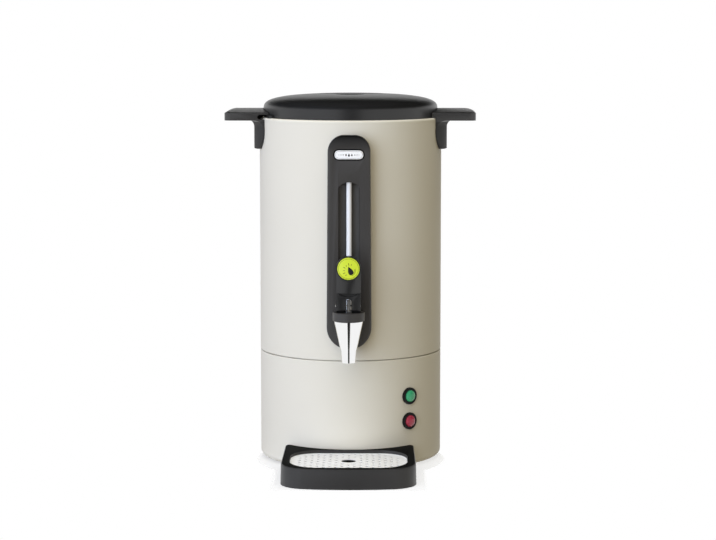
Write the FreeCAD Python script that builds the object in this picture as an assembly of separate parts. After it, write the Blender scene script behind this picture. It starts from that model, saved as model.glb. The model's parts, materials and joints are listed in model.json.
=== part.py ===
import FreeCAD
import Part
import math
import os

# A ten litre coffee urn: painted tank on a heating base, lever tap with a level gauge,
# twist-lock lid, percolator insert and a loose drip tray.
# Millimetres, +Z up. The urn is built with its axis on X = 0, Y = 0, its front facing -Y and
# the worktop at Z = 0. save() then shifts every piece so that the origin lies on the worktop,
# under the middle of the whole object.

# Clearances
moving_gap = 0.3        # between faces that pass each other
seat_gap = 0.2          # between a moulding and the sheet metal that it hugs
running_gap = 0.06      # shaft in its bore, radial
thread_gap = 0.05       # screw in its threaded hole, radial
hole_gap = 0.25         # screw in a plain hole, radial
tip_room = 0.5          # a blind screw hole is this much deeper than its screw

# Tank
body_r = 111.0
tank_wall = 1.0
seam_z = 133.8          # the dark line between tank and base
seam_gap = 0.5
rim_z = 418.6
rim_bend_r = 2.5        # the wall turns inwards at the top over this radius
rim_lip_w = 6.0         # width of the turned-in rim
floor_rise = 13.7       # upper face of the tank floor, above the seam
floor_t = 1.5

# Base housing
base_wall = 1.0
base_bottom_z = 2.5
base_corner_r = 8.0
locating_h = 6.0        # the base's inner ring stands this far inside the tank's skirt
locating_t = 1.0
web_t = 3.0
recess_w = 12.0         # rolled lower edge, from the outer wall to the bottom plate
flange_w = 7.0          # ledge that the bottom plate bears on
flange_rise = 1.7       # the ledge lies this far above the lower edge

# Bottom plate, feet and tie rods
plate_t = 1.2
foot_r = 9.0
foot_edge_r = 0.8
foot_count = 4
foot_inset = 15.0       # from the bottom plate's edge to a foot's centre
foot_start_angle = 45.0
foot_stud_r = 3.0
foot_barb_r = 4.2
foot_barb_h = 1.8
tie_rod_r = 4.0
tie_count = 3
tie_inset = 14.0        # from the ledge's inner edge to a rod's axis
tie_hole_r = 2.0
tie_bolt_len = 10.0
low_head_r = 4.0
low_head_h = 1.5

# Handles
grip_out = 40.8         # the grip's tip, outside the tank's wall
grip_half_w = 42.0
grip_low_drop = 3.2     # the grip's underside, below the rim
grip_edge_rise = 6.4    # upper edge of the grip's side faces, above the rim
grip_crown = 3.9        # the top bulges this far above that edge
grip_roll = 17.0        # the top rolls down to the tip over this length
grip_roll_drop = 4.6
grip_corner_r = 7.5
hook_gap = 0.9          # between the hook over the rim and the lid's skirt
grip_hollow_depth = 5.6
grip_hollow_margin = 5.5
grip_hollow_gap = 1.6   # between the fillet and the hollow under the grip
grip_hollow_r = 3.0
leg_t = 6.8             # thickness of the leg at its middle
leg_plan_r = 73.0       # plan radius of the leg's outer face
leg_drop = 38.1         # the leg's lower end, below the rim
leg_low_half_w = 27.0
leg_curve_h = 26.5      # the leg's lower corners are quarter ellipses of this height
leg_fillet_r = 9.0
groove_drop = 2.0       # lower side of the lid's groove, below the rim
groove_h = 5.8
groove_out = 8.4        # the groove's bottom, outside the tank's wall
groove_stop_gap = 0.6   # left between the lug and the groove's closed end
fixing_drop = 20.6      # the handle's fixings, below the rim
fixing_angle = 9.0
fixing_len = 6.4
m4_r = 2.0
m4_head_r = 4.0
m4_head_h = 2.4
washer_r = 5.0
washer_t = 1.0

# Lid
lid_inset = 4.9         # from the tank's wall to the lid's skirt
lid_low_gap = 0.3       # skirt above the rim
lid_skirt_h = 10.0      # from the rim to the foot of the dome
dome_h = 17.9
dome_power = 3.0        # exponent of the dome's section
lid_wall = 2.6
lug_angle = 27.0        # from the handle's middle line, and so the turn that locks the lid
lug_half_angle = 3.3
lug_out = 3.9
lug_corner_r = 2.0
lug_h = 3.1
finger_half_w = 40.5
finger_depth_y = 32.0
thumb_half_w = 18.0
thumb_depth_y = 20.0
bridge_half_w = 10.0
pocket_depth = 14.0
pocket_wall = 2.2
pocket_corner_r = 2.5
liner_gap = 1.6         # between the rim's edge and the liner
liner_t = 1.2
liner_rise = 2.4        # liner plate above the rim
plug_depth = 7.6        # the liner's plug reaches this far below the rim
gasket_t = 3.0
gasket_h = 4.5
gasket_drop = 0.6       # its upper edge below the rim
post_inset = 34.6       # from the lid's skirt to the posts that hold the liner
post_count = 4
post_r = 4.0
m3_r = 1.5
m3_head_r = 3.0
m3_head_h = 1.8
lid_fixing_len = 10.0

# Front panel with its gauge channel
panel_depth = 17.0      # front face, outside the tank's wall
panel_half_w = 26.4
panel_low_rise = 15.9   # lower end above the seam
panel_top_drop = 16.6   # upper end below the rim
panel_shoulder_r = 19.0
panel_taper = 1.4       # each side leans in by this much at the shoulders
panel_wall = 2.6
panel_edge_r = 2.4
channel_half_w = 12.5
channel_drop = 60.5     # top of the channel's straight sides, below the panel's top
channel_arch = 6.0
channel_depth = 13.3
channel_wall = 2.0
badge_drop = 22.4       # centre of the badge, below the panel's top
badge_half_w = 17.35
badge_half_h = 5.6
badge_corner_r = 5.0
badge_margin = 1.1
badge_recess = 1.6
badge_t = 1.3
badge_edge_r = 0.4
high_boss_drop = 38.0   # upper fixing of the panel, below its top
low_boss_rise = 60.0    # lower fixing, above the tap's shank
panel_boss_r = 5.0
panel_fixing_len = 11.5
panel_skin = 0.8        # left between the lower fixing and the floor of the channel

# Tap
tap_out = 24.0          # axis of the spout, in front of the panel
shank_rise = 28.5       # axis of the shank, above the tank's floor
shank_r = 8.5
shank_bore_r = 5.5
shank_tail = 3.5        # thread beyond the nut
shank_flange_r = 12.3
shank_flange_t = 2.4
seal_t = 2.0
nut_across_flats = 25.0
nut_t = 6.0
spout_tip_drop = 38.0   # spout levels are counted from the shank's axis
spout_tip_r = 8.1
spout_neck_drop = 24.5
spout_neck_r = 9.0
cone_low_drop = 18.5
cone_low_r = 10.6
cone_top_rise = 11.5
cone_top_r = 17.25
neck_hollow = 0.25      # the blend above the neck is this much hollow
outlet_r = 5.6
seat_drop = 10.0
seat_ring_t = 1.5
seat_ring_h = 1.2
chamber_r = 9.5
tap_neck_r = 13.6
tap_neck_h = 6.0
collar_nut_r = 18.7
collar_nut_h = 10.5
collar_nut_edge = 0.8
nut_lip_r = 11.2
bonnet_boss_r = 10.9
bonnet_flange_t = 2.0
bonnet_plug_drop = 4.0
stem_r = 1.9
stem_top_rise = 6.8     # above the lever's pin
cup_r = 7.8
cup_h = 5.0
cup_rim_h = 1.6
cup_top_r = 3.4
stem_in_cup = 4.0
spring_r = 4.6
spring_wire_r = 0.55
spring_turns = 6
spring_cup_r = 6.0
spring_cup_t = 1.0

# Lever
lever_half_w = 14.0
lever_low_front = 10.5  # from the stem's axis to the lever's lower front face
lever_low_back = 9.0
lever_cam_r = 4.0
lever_step_rise = 21.0  # the crowned upper part starts above this, counted from the lever's foot
lever_lip_rise = 23.0
lever_crown = 4.0       # it bulges this far in front of the lower part
lever_head_rise = 51.8  # centre of the round head
lever_top_r = 14.3
lever_plate_t = 5.5
lever_waist_rise = 33.0
lever_boss_out = 2.8    # the round flat that carries the disc, in front of the lower part
nail_half_w = 12.0      # crescent for the finger nail, under the crowned part
nail_h = 4.2
nail_end_h = 0.4
nail_depth = 2.5
nail_gap = 0.5
slot_half_w = 3.7
slot_rise = 15.8
pin_rise = 7.1
pin_r = 1.0
pin_gap = 0.01
pin_head_r = 1.9
pin_head_h = 1.3
pin_head_edge_r = 0.5
pin_end_gap = 0.2
disc_r = 12.9
disc_t = 0.5            # stands proud of its recess by this much
disc_recess = 0.5
disc_edge_r = 0.35

# Level gauge
gauge_r = 3.25
gauge_bore_r = 2.0
gauge_back = 6.5        # axis of the tube, behind the panel's face
gauge_over = 6.0        # the tube reaches this far above the channel
gauge_foot = 1.5        # seat of the tube above the port's floor
port_r = 6.2
port_bore_r = 4.8
port_h = 16.0
port_passage_r = 1.6
port_lip_t = 1.4
port_lip_in = 0.4
gauge_seal_h = 6.5
gauge_cap_t = 2.0
gauge_block_w = 2.0     # solid material around the upper seal

# Heater and controls
heater_gap = 4.0        # between the heater plate and the tie rods
heater_t = 4.0
element_inset = 20.0
element_r = 4.0
element_sunk = 0.45     # share of the element's radius that is cast into the plate
element_gap_angle = 30.0
element_pin_len = 12.0
element_pin_r = 2.4
thermostat_r = 8.0
thermostat_h = 9.0
thermostat_can_h = 4.0
thermostat_step = 0.8
thermostat_offset = 24.0
blade_half_t = 0.4
blade_half_w = 3.0
blade_half_gap = 4.0
blade_len = 7.0
cutout_x = -30.0
cutout_y = 20.0
cutout_half_w = 12.0
cutout_half_d = 9.0
cutout_h = 22.0
cutout_corner_r = 2.0
capillary_r = 0.9
capillary_bend_r = 8.0
capillary_run = 3.0     # from the bend to the bulb
bulb_r = 2.6
bulb_len = 26.0
button_r = 3.0
button_out = 1.2
button_len = 8.5
button_travel = 1.5
button_edge_r = 0.6
block_x = -34.0
block_inset = 36.0      # from the ledge's inner edge to the terminal block
block_half_w = 15.0
block_half_d = 9.0
block_h = 14.0
way_count = 3
way_pitch = 9.3
way_r = 2.2
way_depth = 5.0
fuse_r = 3.0
fuse_len = 22.0
fuse_offset = 20.0      # from the urn's axis, on the side away from the thermostats
lead_r = 1.3
lead_drop = 42.0        # level run of the first lead, below the heater plate
lead_step = 10.0
lead_bend_r = 5.0
earth_bend_r = 3.0

# Indicator lamps
lamp_angle = 40.0
green_z = 87.4
red_z = 57.0
bezel_r = 10.2
bezel_out = 2.3
bezel_edge_r = 1.2
barrel_r = 8.4
barrel_len = 19.0
barrel_end_t = 2.0
lens_r = 7.1
lens_rise = 0.6
lens_dome_h = 4.2
lens_seat_depth = 9.0
lens_wall = 0.5
lamp_nut_r = 11.0
lamp_nut_t = 3.0
lamp_nut_gap = 1.2
neon_r = 2.6
neon_gap = 1.0
neon_len = 10.0

# Rear connection panel
rear_z = 70.0
rear_half_w = 40.0
rear_half_h = 26.0
rear_corner_r = 6.0
rear_edge_r = 1.0
rear_out = 3.2          # its flat face stands this far outside the wall
rear_hole_half_w = 31.0
rear_hole_half_h = 17.5
rear_fixing_len = 10.0
rear_box_depth = 12.0   # the box behind the panel reaches this far inside the wall
inlet_x = -13.0
inlet_half_w = 15.3
inlet_half_h = 12.0
inlet_corner_r = 2.0
inlet_flange_t = 1.5
inlet_body_half_w = 13.6
inlet_body_half_h = 9.9
inlet_mouth_half_w = 12.2
inlet_mouth_half_h = 8.3
inlet_mouth_depth = 17.5
inlet_body_depth = 21.0
inlet_chamfer = 4.0
pole_half_spacing = 7.0
pole_half_t = 1.0
pole_half_h = 2.0
pole_rise = 2.0
pole_free_len = 11.0
pole_tail_len = 6.0
switch_x = 18.0
switch_half_w = 7.5
switch_half_h = 10.5
switch_flange_w = 1.0
switch_corner_r = 1.5
switch_frame_t = 1.8
switch_body_depth = 16.0
switch_floor_t = 3.0
switch_wall = 1.5
switch_end_wall = 0.75
switch_blade_half_gap = 3.0
rocker_tilt = 10.0
rocker_pivot_depth = 1.5
rocker_axle_r = 1.0
rocker_axle_in = 0.8
rocker_keel = 3.0
rocker_skirt = 0.5
rocker_skirt_share = 0.9
rocker_keel_share = 0.5
rocker_edge_drop = 0.5

# Percolator insert
bell_r = 32.0
bell_h = 12.0
bell_wall = 1.2
bell_slots = 6
bell_slot_half_w = 2.5
bell_slot_h = 2.5
bell_slot_depth = 8.0
tube_r = 5.0
tube_bore_r = 3.8
tube_drop = 26.6        # top of the tube, below the rim
collar_r = 8.5
collar_h = 3.0
basket_rise = 114.5     # top of the collar that carries the basket, above the floor
basket_r = 60.0
basket_h = 84.0
basket_wall = 0.8
bead_out = 1.0
bead_h = 2.0
sleeve_r = 7.0
sleeve_drop = 4.0
basket_hole_r = 1.3
basket_hole_pitch = 9.0
basket_ring_count = 4
basket_ring_pitch = 11.0
basket_ring_start = 17.0
cover_t = 0.8
cover_rim_h = 5.0
cover_knob_r = 9.0
cover_knob_h = 14.0
cover_knob_wall = 1.5
cover_hole_pitch = 13.0
cover_ring_count = 3
cover_ring_pitch = 14.0
cover_ring_start = 18.0

# Drip tray
tray_depth = 103.7      # from the tank's wall to the tray's front
tray_half_w = 79.2
tray_back_narrow = 1.6  # the back corners lie this far inside the widest place
tray_wide_depth = 66.0
tray_front_r = 300.0
tray_corner_r = 32.0
tray_back_corner_r = 4.5
tray_draft = 0.7        # the top outline lies this far inside the bottom outline
tray_top_front_z = 23.6
tray_top_back_z = 27.0
tray_back_gap = 0.5
tray_wall = 2.5
tray_edge_r = 1.6
plate_side_margin = 10.5
plate_front_margin = 11.0
plate_back_margin = 5.0
plate_end_flat = 11.0    # half the straight stretch at each end of the plate
drip_plate_t = 1.0
drip_plate_drop = 0.4   # its upper face, below the tray's front rim
plate_ledge = 3.0
basin_floor_z = 3.4
basin_floor_t = 2.4
drain_r = 2.0
drain_pitch_x = 7.2
drain_pitch_y = 6.8
drain_margin = 3.4
centre_hole_r = 8.7

# Values that follow from the ones above: the tank and its base
inner_r = body_r - tank_wall
skirt_z = seam_z + seam_gap / 2
base_top_z = seam_z - seam_gap / 2
rim_lip_r = body_r - rim_lip_w
floor_z = seam_z + floor_rise
floor_low_z = floor_z - floor_t
recess_r = body_r - recess_w
flange_z = base_bottom_z + flange_rise
flange_r = recess_r - flange_w
plate_low_z = flange_z - plate_t
foot_circle_r = recess_r - foot_inset
tie_circle_r = flange_r - tie_inset
heater_r = tie_circle_r - tie_rod_r - heater_gap
heater_low_z = floor_low_z - heater_t
element_circle_r = heater_r - element_inset
block_y = flange_r - block_inset

# The lid and the handles that lock it
lid_r = body_r - lid_inset
lid_low_z = rim_z + lid_low_gap
lid_skirt_z = rim_z + lid_skirt_h
lid_top_z = lid_skirt_z + dome_h
lug_r = lid_r + lug_out
liner_r = rim_lip_r - liner_gap
liner_top_z = rim_z + liner_rise
gasket_r = rim_lip_r - moving_gap
post_circle_r = lid_r - post_inset
pocket_floor_z = lid_top_z - pocket_depth
grip_reach = body_r + grip_out
grip_low_z = rim_z - grip_low_drop
grip_edge_z = rim_z + grip_edge_rise
grip_top_z = grip_edge_z + grip_crown
hook_r = lid_r + hook_gap
leg_r = body_r + leg_t
leg_low_z = rim_z - leg_drop
grip_hollow_start = leg_r + leg_fillet_r + grip_hollow_gap
groove_low_z = rim_z - groove_drop
groove_high_z = groove_low_z + groove_h
groove_outer_r = body_r + groove_out
fixing_z = rim_z - fixing_drop
washer_face_r = inner_r - washer_t

# The front panel, the tap and its lever
panel_front = body_r + panel_depth
panel_low_z = seam_z + panel_low_rise
panel_top_z = rim_z - panel_top_drop
panel_top_half_w = panel_half_w - panel_taper
channel_side_top_z = panel_top_z - channel_drop
channel_top_z = channel_side_top_z + channel_arch
badge_z = panel_top_z - badge_drop
shank_z = floor_z + shank_rise
high_boss_z = panel_top_z - high_boss_drop
low_boss_z = shank_z + low_boss_rise
tap_y = -(panel_front + tap_out)
nut_near_r = inner_r - seal_t
nut_far_r = nut_near_r - nut_t
shank_inner_reach = nut_far_r - shank_tail
spout_tip_z = shank_z - spout_tip_drop
spout_neck_z = shank_z - spout_neck_drop
cone_low_z = shank_z - cone_low_drop
cone_top_z = shank_z + cone_top_rise
seat_z = shank_z - seat_drop
nut_top_z = cone_top_z + collar_nut_h
bonnet_seat_z = cone_top_z + tap_neck_h
bonnet_low_z = bonnet_seat_z - bonnet_plug_drop
bonnet_lip_z = bonnet_seat_z + bonnet_flange_t
cup_low_z = seat_z + seat_ring_h + moving_gap
cup_top_z = cup_low_z + cup_h
foot_z = nut_top_z + moving_gap
pin_z = foot_z + pin_rise
slot_top_z = foot_z + slot_rise
lever_step_z = foot_z + lever_step_rise
lever_lip_z = foot_z + lever_lip_rise
lever_waist_z = foot_z + lever_waist_rise
lever_head_z = foot_z + lever_head_rise
lever_front_y = tap_y - lever_low_front
lever_face_y = lever_front_y - lever_boss_out
gauge_y = -(panel_front - gauge_back)
gauge_top_z = channel_top_z + gauge_over
gauge_cap_z = gauge_top_z + gauge_cap_t
gauge_block_half_w = port_r + gauge_block_w
port_floor_z = shank_z + shank_r
port_top_z = shank_z + port_h

# The rear panel, the insert and the tray
rear_face_y = body_r + rear_out
rear_fixing_x = (rear_half_w + rear_hole_half_w) / 2
rear_box_reach = body_r - rear_box_depth
inlet_face_y = rear_face_y + inlet_flange_t
switch_body_half_w = switch_half_w - switch_flange_w
switch_body_half_h = switch_half_h - switch_flange_w
pole_back_y = inlet_face_y - inlet_body_depth - pole_tail_len
rocker_edge_y = switch_frame_t + rocker_pivot_depth - rocker_edge_drop
rocker_lean = math.radians(rocker_tilt)
rocker_room = switch_body_half_h - switch_end_wall - moving_gap
rocker_half_h = (rocker_room - rocker_edge_y * math.sin(rocker_lean)) / math.cos(rocker_lean)
rocker_reach = rocker_edge_y * math.cos(rocker_lean) + rocker_half_h * math.sin(rocker_lean)
tube_top_z = rim_z - tube_drop
basket_z = floor_z + basket_rise
tray_front = body_r + tray_depth
tray_wide_y = body_r + tray_wide_depth
tray_back_half_w = tray_half_w - tray_back_narrow
plate_half_w = tray_half_w - plate_side_margin
plate_half_d = (tray_depth - plate_front_margin - plate_back_margin) / 2
plate_centre = body_r + plate_back_margin + plate_half_d
plate_corner_r = plate_half_d - plate_end_flat
drip_plate_z = tray_top_front_z - drip_plate_drop
front_reach = tray_front
back_reach = rear_face_y - rocker_pivot_depth + rocker_reach
shift_y = (front_reach - back_reach) / 2


def vec(x, y, z):
    return FreeCAD.Vector(x, y, z)


def polar(radius, angle, z=0.0):
    # angle 0 is the front, positive turns towards +X
    turn = math.radians(angle)
    return vec(radius * math.sin(turn), -radius * math.cos(turn), z)


def turned(shape, angle):
    copy = shape.copy()
    copy.rotate(vec(0, 0, 0), vec(0, 0, 1), angle)
    return copy


def upright(radius, low, high, x=0.0, y=0.0):
    return Part.makeCylinder(radius, high - low, vec(x, y, low))


def ring(outer, inner, low, high, x=0.0, y=0.0):
    return upright(outer, low, high, x, y).cut(upright(inner, low - 1, high + 1, x, y))


def rod(radius, start, end):
    return Part.makeCylinder(radius, (end - start).Length, start, end - start)


def block(x0, x1, y0, y1, z0, z1):
    return Part.makeBox(x1 - x0, y1 - y0, z1 - z0, vec(x0, y0, z0))


def wire_of(points, to_space):
    # Each point is (a, b) for a straight run or (a, b, mid_a, mid_b) for an arc that ends there.
    edges = []
    last = to_space(points[-1][0], points[-1][1])
    for point in points:
        here = to_space(point[0], point[1])
        if len(point) == 4:
            edges.append(Part.Arc(last, to_space(point[2], point[3]), here).toShape())
        elif (here - last).Length > 1e-6:
            edges.append(Part.LineSegment(last, here).toShape())
        last = here
    return Part.Wire(edges)


def spun(points, x=0.0, y=0.0):
    face = Part.Face(wire_of(points, lambda r, z: vec(x + r, y, z)))
    return face.revolve(vec(x, y, 0), vec(0, 0, 1), 360)


def plan_prism(points, low, high):
    face = Part.Face(wire_of(points, lambda x, y: vec(x, y, low)))
    return face.extrude(vec(0, 0, high - low))


def front_prism(points, y0, y1):
    face = Part.Face(wire_of(points, lambda x, z: vec(x, y0, z)))
    return face.extrude(vec(0, y1 - y0, 0))


def side_prism(points, x0, x1):
    face = Part.Face(wire_of(points, lambda y, z: vec(x0, y, z)))
    return face.extrude(vec(x1 - x0, 0, 0))


def on_circle(cx, cz, radius, angle):
    turn = math.radians(angle)
    return (cx + radius * math.cos(turn), cz + radius * math.sin(turn))


def rounded_rectangle(half_w, half_h, radius, cx=0.0, cy=0.0):
    points = []
    corners = ((1, -1, -90), (1, 1, 0), (-1, 1, 90), (-1, -1, 180))
    for sx, sy, start in corners:
        ox = cx + sx * (half_w - radius)
        oy = cy + sy * (half_h - radius)
        points.append(on_circle(ox, oy, radius, start))
        points.append(on_circle(ox, oy, radius, start + 90) + on_circle(ox, oy, radius, start + 45))
    return points


def fused(shapes):
    whole = shapes[0]
    for shape in shapes[1:]:
        whole = whole.fuse(shape)
    return whole.removeSplitter()


def edges_where(shape, test):
    return [edge for edge in shape.Edges if test(edge)]


def flat_at(edge, z):
    return abs(edge.BoundBox.ZMin - z) < 1e-3 and abs(edge.BoundBox.ZMax - z) < 1e-3


def grouped(solids):
    return Part.makeCompound([solid.Solids[0] for solid in solids])


def lead(points, radius, bend_r):
    # A round wire along straight runs joined by tangent arcs.
    edges = []
    start = points[0]
    for before, corner, after in zip(points, points[1:], points[2:]):
        back = (before - corner).normalize()
        onward = (after - corner).normalize()
        half = back.getAngle(onward) / 2
        run = bend_r / math.tan(half)
        first = corner + back * run
        last = corner + onward * run
        bisector = (back + onward).normalize()
        middle = corner + bisector * (bend_r / math.sin(half) - bend_r)
        edges.append(Part.LineSegment(start, first).toShape())
        edges.append(Part.Arc(first, middle, last).toShape())
        start = last
    edges.append(Part.LineSegment(start, points[-1]).toShape())
    path = Part.Wire(edges)
    circle = Part.Circle(points[0], points[1] - points[0], radius).toShape()
    return path.makePipeShell([Part.Wire([circle])], True, False)


def pan_screw(radius, head_r, head_h, length, seat, direction):
    # The head's flat face sits on seat and the shank runs along direction.
    way = direction.normalize()
    shank = rod(radius, seat - way * (head_h / 2), seat + way * length)
    head = rod(head_r, seat - way * head_h, seat)
    crown = edges_where(head, lambda edge: (edge.CenterOfMass - (seat - way * head_h)).Length < 1e-3)
    head = head.makeFillet(head_h * 0.45, crown)
    slot = rod(radius * 0.55, seat - way * (head_h + 1), seat - way * (head_h * 0.4))
    return head.fuse(shank).cut(slot)


def wall_screw(angle, z, head_seat_r, length):
    # A screw that stands on a radius of the tank, with its head inside.
    seat = polar(head_seat_r, angle, z)
    return pan_screw(m4_r, m4_head_r, m4_head_h, length, seat, polar(1, angle))


def wall_hole(angle, z, radius):
    return rod(radius, polar(inner_r - 5, angle, z), polar(body_r + 5, angle, z))


def curved_washer(angle, z, outer, inner, thickness):
    # A soft washer that is pressed to the curve of the tank's inner wall.
    disc = rod(outer, polar(inner_r - thickness, angle, z), polar(body_r, angle, z))
    hole = rod(inner, polar(inner_r - 5, angle, z), polar(body_r + 5, angle, z))
    return disc.common(upright(inner_r, z - outer - 1, z + outer + 1)).cut(hole)


def fixing_angles():
    return [side * 90 + step for side in (1, -1) for step in (-fixing_angle, fixing_angle)]


# Tank and base

def make_tank():
    bend_x = body_r - rim_bend_r
    bend_z = rim_z - rim_bend_r
    inside_bend = rim_bend_r - tank_wall
    wall = spun([
        (inner_r, skirt_z),
        (body_r, skirt_z),
        (body_r, bend_z),
        (bend_x, rim_z) + on_circle(bend_x, bend_z, rim_bend_r, 45),
        (rim_lip_r, rim_z),
        (rim_lip_r, rim_z - tank_wall),
        (bend_x, rim_z - tank_wall),
        (inner_r, bend_z) + on_circle(bend_x, bend_z, inside_bend, 45),
    ])
    tank = wall.fuse(upright(inner_r + tank_wall / 2, floor_low_z, floor_z))
    tank = tank.cut(wall_hole(0, shank_z, shank_r + hole_gap))
    for z in (high_boss_z, low_boss_z):
        tank = tank.cut(wall_hole(0, z, m4_r + hole_gap))
    for angle in fixing_angles():
        tank = tank.cut(wall_hole(angle, fixing_z, m4_r + hole_gap))
    return tank.removeSplitter()


def make_base_housing():
    corner_x = body_r - base_corner_r
    corner_z = base_bottom_z + base_corner_r
    inside_corner = base_corner_r - base_wall
    locating_r = inner_r - seat_gap
    shell = spun([
        (body_r, base_top_z),
        (body_r, corner_z),
        (corner_x, base_bottom_z) + on_circle(corner_x, corner_z, base_corner_r, -45),
        (recess_r, base_bottom_z),
        (recess_r, flange_z),
        (flange_r, flange_z),
        (flange_r, flange_z + base_wall),
        (recess_r + base_wall, flange_z + base_wall),
        (recess_r + base_wall, base_bottom_z + base_wall),
        (corner_x, base_bottom_z + base_wall),
        (body_r - base_wall, corner_z) + on_circle(corner_x, corner_z, inside_corner, -45),
        (body_r - base_wall, base_top_z - web_t),
        (locating_r - locating_t, base_top_z - web_t),
        (locating_r - locating_t, base_top_z + locating_h),
        (locating_r, base_top_z + locating_h),
        (locating_r, base_top_z),
    ])
    for z in (green_z, red_z):
        shell = shell.cut(wall_hole(lamp_angle, z, barrel_r + hole_gap))
    opening = block(-rear_hole_half_w, rear_hole_half_w, body_r - 20, body_r + 5,
                    rear_z - rear_hole_half_h, rear_z + rear_hole_half_h)
    shell = shell.cut(opening)
    for x in (-rear_fixing_x, rear_fixing_x):
        shell = shell.cut(rod(m3_r + thread_gap, vec(x, body_r - 30, rear_z), vec(x, body_r, rear_z)))
    return shell


def foot_places():
    return [polar(foot_circle_r, foot_start_angle + k * 360 / foot_count) for k in range(foot_count)]


def tie_places():
    return [polar(tie_circle_r, k * 360 / tie_count) for k in range(tie_count)]


def make_bottom_plate():
    plate = upright(recess_r - moving_gap, plate_low_z, flange_z)
    for place in foot_places():
        plate = plate.cut(upright(foot_stud_r + thread_gap, plate_low_z - 1, flange_z + 1, place.x, place.y))
    for place in tie_places():
        plate = plate.cut(upright(tie_hole_r + hole_gap, plate_low_z - 1, flange_z + 1, place.x, place.y))
    return plate.cut(upright(button_r + moving_gap, plate_low_z - 1, flange_z + 1, cutout_x, cutout_y))


def make_rubber_feet():
    feet = []
    for place in foot_places():
        pad = upright(foot_r, 0, plate_low_z, place.x, place.y)
        pad = pad.makeFillet(foot_edge_r, edges_where(pad, lambda edge: flat_at(edge, 0)))
        stud = upright(foot_stud_r, plate_low_z - 0.5, flange_z + foot_barb_h, place.x, place.y)
        barb = Part.makeCone(foot_barb_r, foot_stud_r, foot_barb_h, vec(place.x, place.y, flange_z))
        feet.append(fused([pad, stud, barb]))
    return grouped(feet)


def make_tie_rods():
    rods = []
    for place in tie_places():
        bar = upright(tie_rod_r, flange_z, floor_low_z, place.x, place.y)
        depth = plate_low_z + tie_bolt_len + tip_room
        rods.append(bar.cut(upright(tie_hole_r + thread_gap, flange_z - 1, depth, place.x, place.y)))
    return grouped(rods)


def make_tie_screws():
    screws = []
    for place in tie_places():
        seat = vec(place.x, place.y, plate_low_z)
        screws.append(pan_screw(tie_hole_r, low_head_r, low_head_h, tie_bolt_len, seat, vec(0, 0, 1)))
    return grouped(screws)


# Handles. Both are one moulding: the left one is the right one turned by half a turn.

def grip_body():
    # The plan of the grip, cut to a pillow on top that is highest along the middle.
    high = grip_top_z
    grip = block(body_r - 20, grip_reach, -grip_half_w, grip_half_w, grip_low_z, high)
    corners = edges_where(grip, lambda edge: abs(edge.BoundBox.XMin - grip_reach) < 1e-3
                          and edge.BoundBox.ZLength > 1)
    grip = grip.makeFillet(grip_corner_r, corners)
    crown_r = (grip_half_w ** 2 + grip_crown ** 2) / (2 * grip_crown)
    crown = rod(crown_r, vec(body_r - 20, 0, high - crown_r), vec(grip_reach, 0, high - crown_r))
    roll_x = grip_reach - grip_roll
    roll_r = (grip_roll ** 2 + grip_roll_drop ** 2) / (2 * grip_roll_drop)
    roll = rod(roll_r, vec(roll_x, -grip_half_w, high - roll_r), vec(roll_x, grip_half_w, high - roll_r))
    level = block(body_r - 20, roll_x, -grip_half_w, grip_half_w, grip_low_z, high)
    return grip.common(crown).common(fused([level, roll]))


def leg_body():
    plan_x = leg_r - leg_plan_r
    outside = upright(leg_plan_r, leg_low_z, grip_low_z + 1, plan_x, 0)
    curve_z = leg_low_z + leg_curve_h
    half_root = math.sqrt(0.5)
    middle_y = leg_low_half_w + (grip_half_w - leg_low_half_w) * half_root
    middle_z = curve_z - leg_curve_h * half_root
    front = side_prism([
        (-grip_half_w, grip_low_z + 1),
        (-grip_half_w, curve_z),
        (-leg_low_half_w, leg_low_z, -middle_y, middle_z),
        (leg_low_half_w, leg_low_z),
        (grip_half_w, curve_z, middle_y, middle_z),
        (grip_half_w, grip_low_z + 1),
    ], body_r - 20, grip_reach)
    return outside.common(front)


def groove_body():
    # The lid's lug enters this round-ended groove from behind and stops at the handle's middle.
    end_r = (groove_high_z - groove_low_z) / 2
    face = Part.Face(wire_of([
        (rim_lip_r, groove_low_z),
        (groove_outer_r - end_r, groove_low_z),
        (groove_outer_r - end_r, groove_high_z, groove_outer_r, groove_low_z + end_r),
        (rim_lip_r, groove_high_z),
    ], lambda r, z: vec(r, 0, z)))
    sector = face.revolve(vec(0, 0, 0), vec(0, 0, 1), 90)
    lug_half_w = math.degrees(math.asin(lug_r * math.sin(math.radians(lug_half_angle)) / hook_r))
    stop = math.degrees(groove_stop_gap / hook_r)
    return turned(sector, -lug_half_w - stop)


def grip_hollow():
    end = grip_reach - grip_hollow_margin
    half_w = grip_half_w - grip_hollow_margin
    hollow = block(grip_hollow_start, end, -half_w, half_w, grip_low_z - 1, grip_low_z + grip_hollow_depth)
    corner_r = min(grip_hollow_r, (end - grip_hollow_start) * 0.4)
    return hollow.makeFillet(corner_r, edges_where(hollow, lambda edge: edge.BoundBox.ZLength > 1))


def make_handle():
    solid = fused([grip_body(), leg_body()])
    inside = upright(body_r + seat_gap, leg_low_z - 1, rim_z + seat_gap)
    inside = inside.fuse(upright(hook_r, rim_z, grip_top_z + 1))
    solid = solid.cut(inside)
    corner = edges_where(solid, lambda edge: flat_at(edge, grip_low_z)
                         and abs(edge.BoundBox.XMax - leg_r) < 1)
    solid = solid.makeFillet(leg_fillet_r, corner)
    solid = solid.cut(grip_hollow()).cut(groove_body())
    tip_r = washer_face_r + fixing_len + tip_room
    for step in (-fixing_angle, fixing_angle):
        solid = solid.cut(rod(m4_r + thread_gap, polar(inner_r, 90 + step, fixing_z),
                              polar(tip_r, 90 + step, fixing_z)))
    return solid


# Lid

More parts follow.
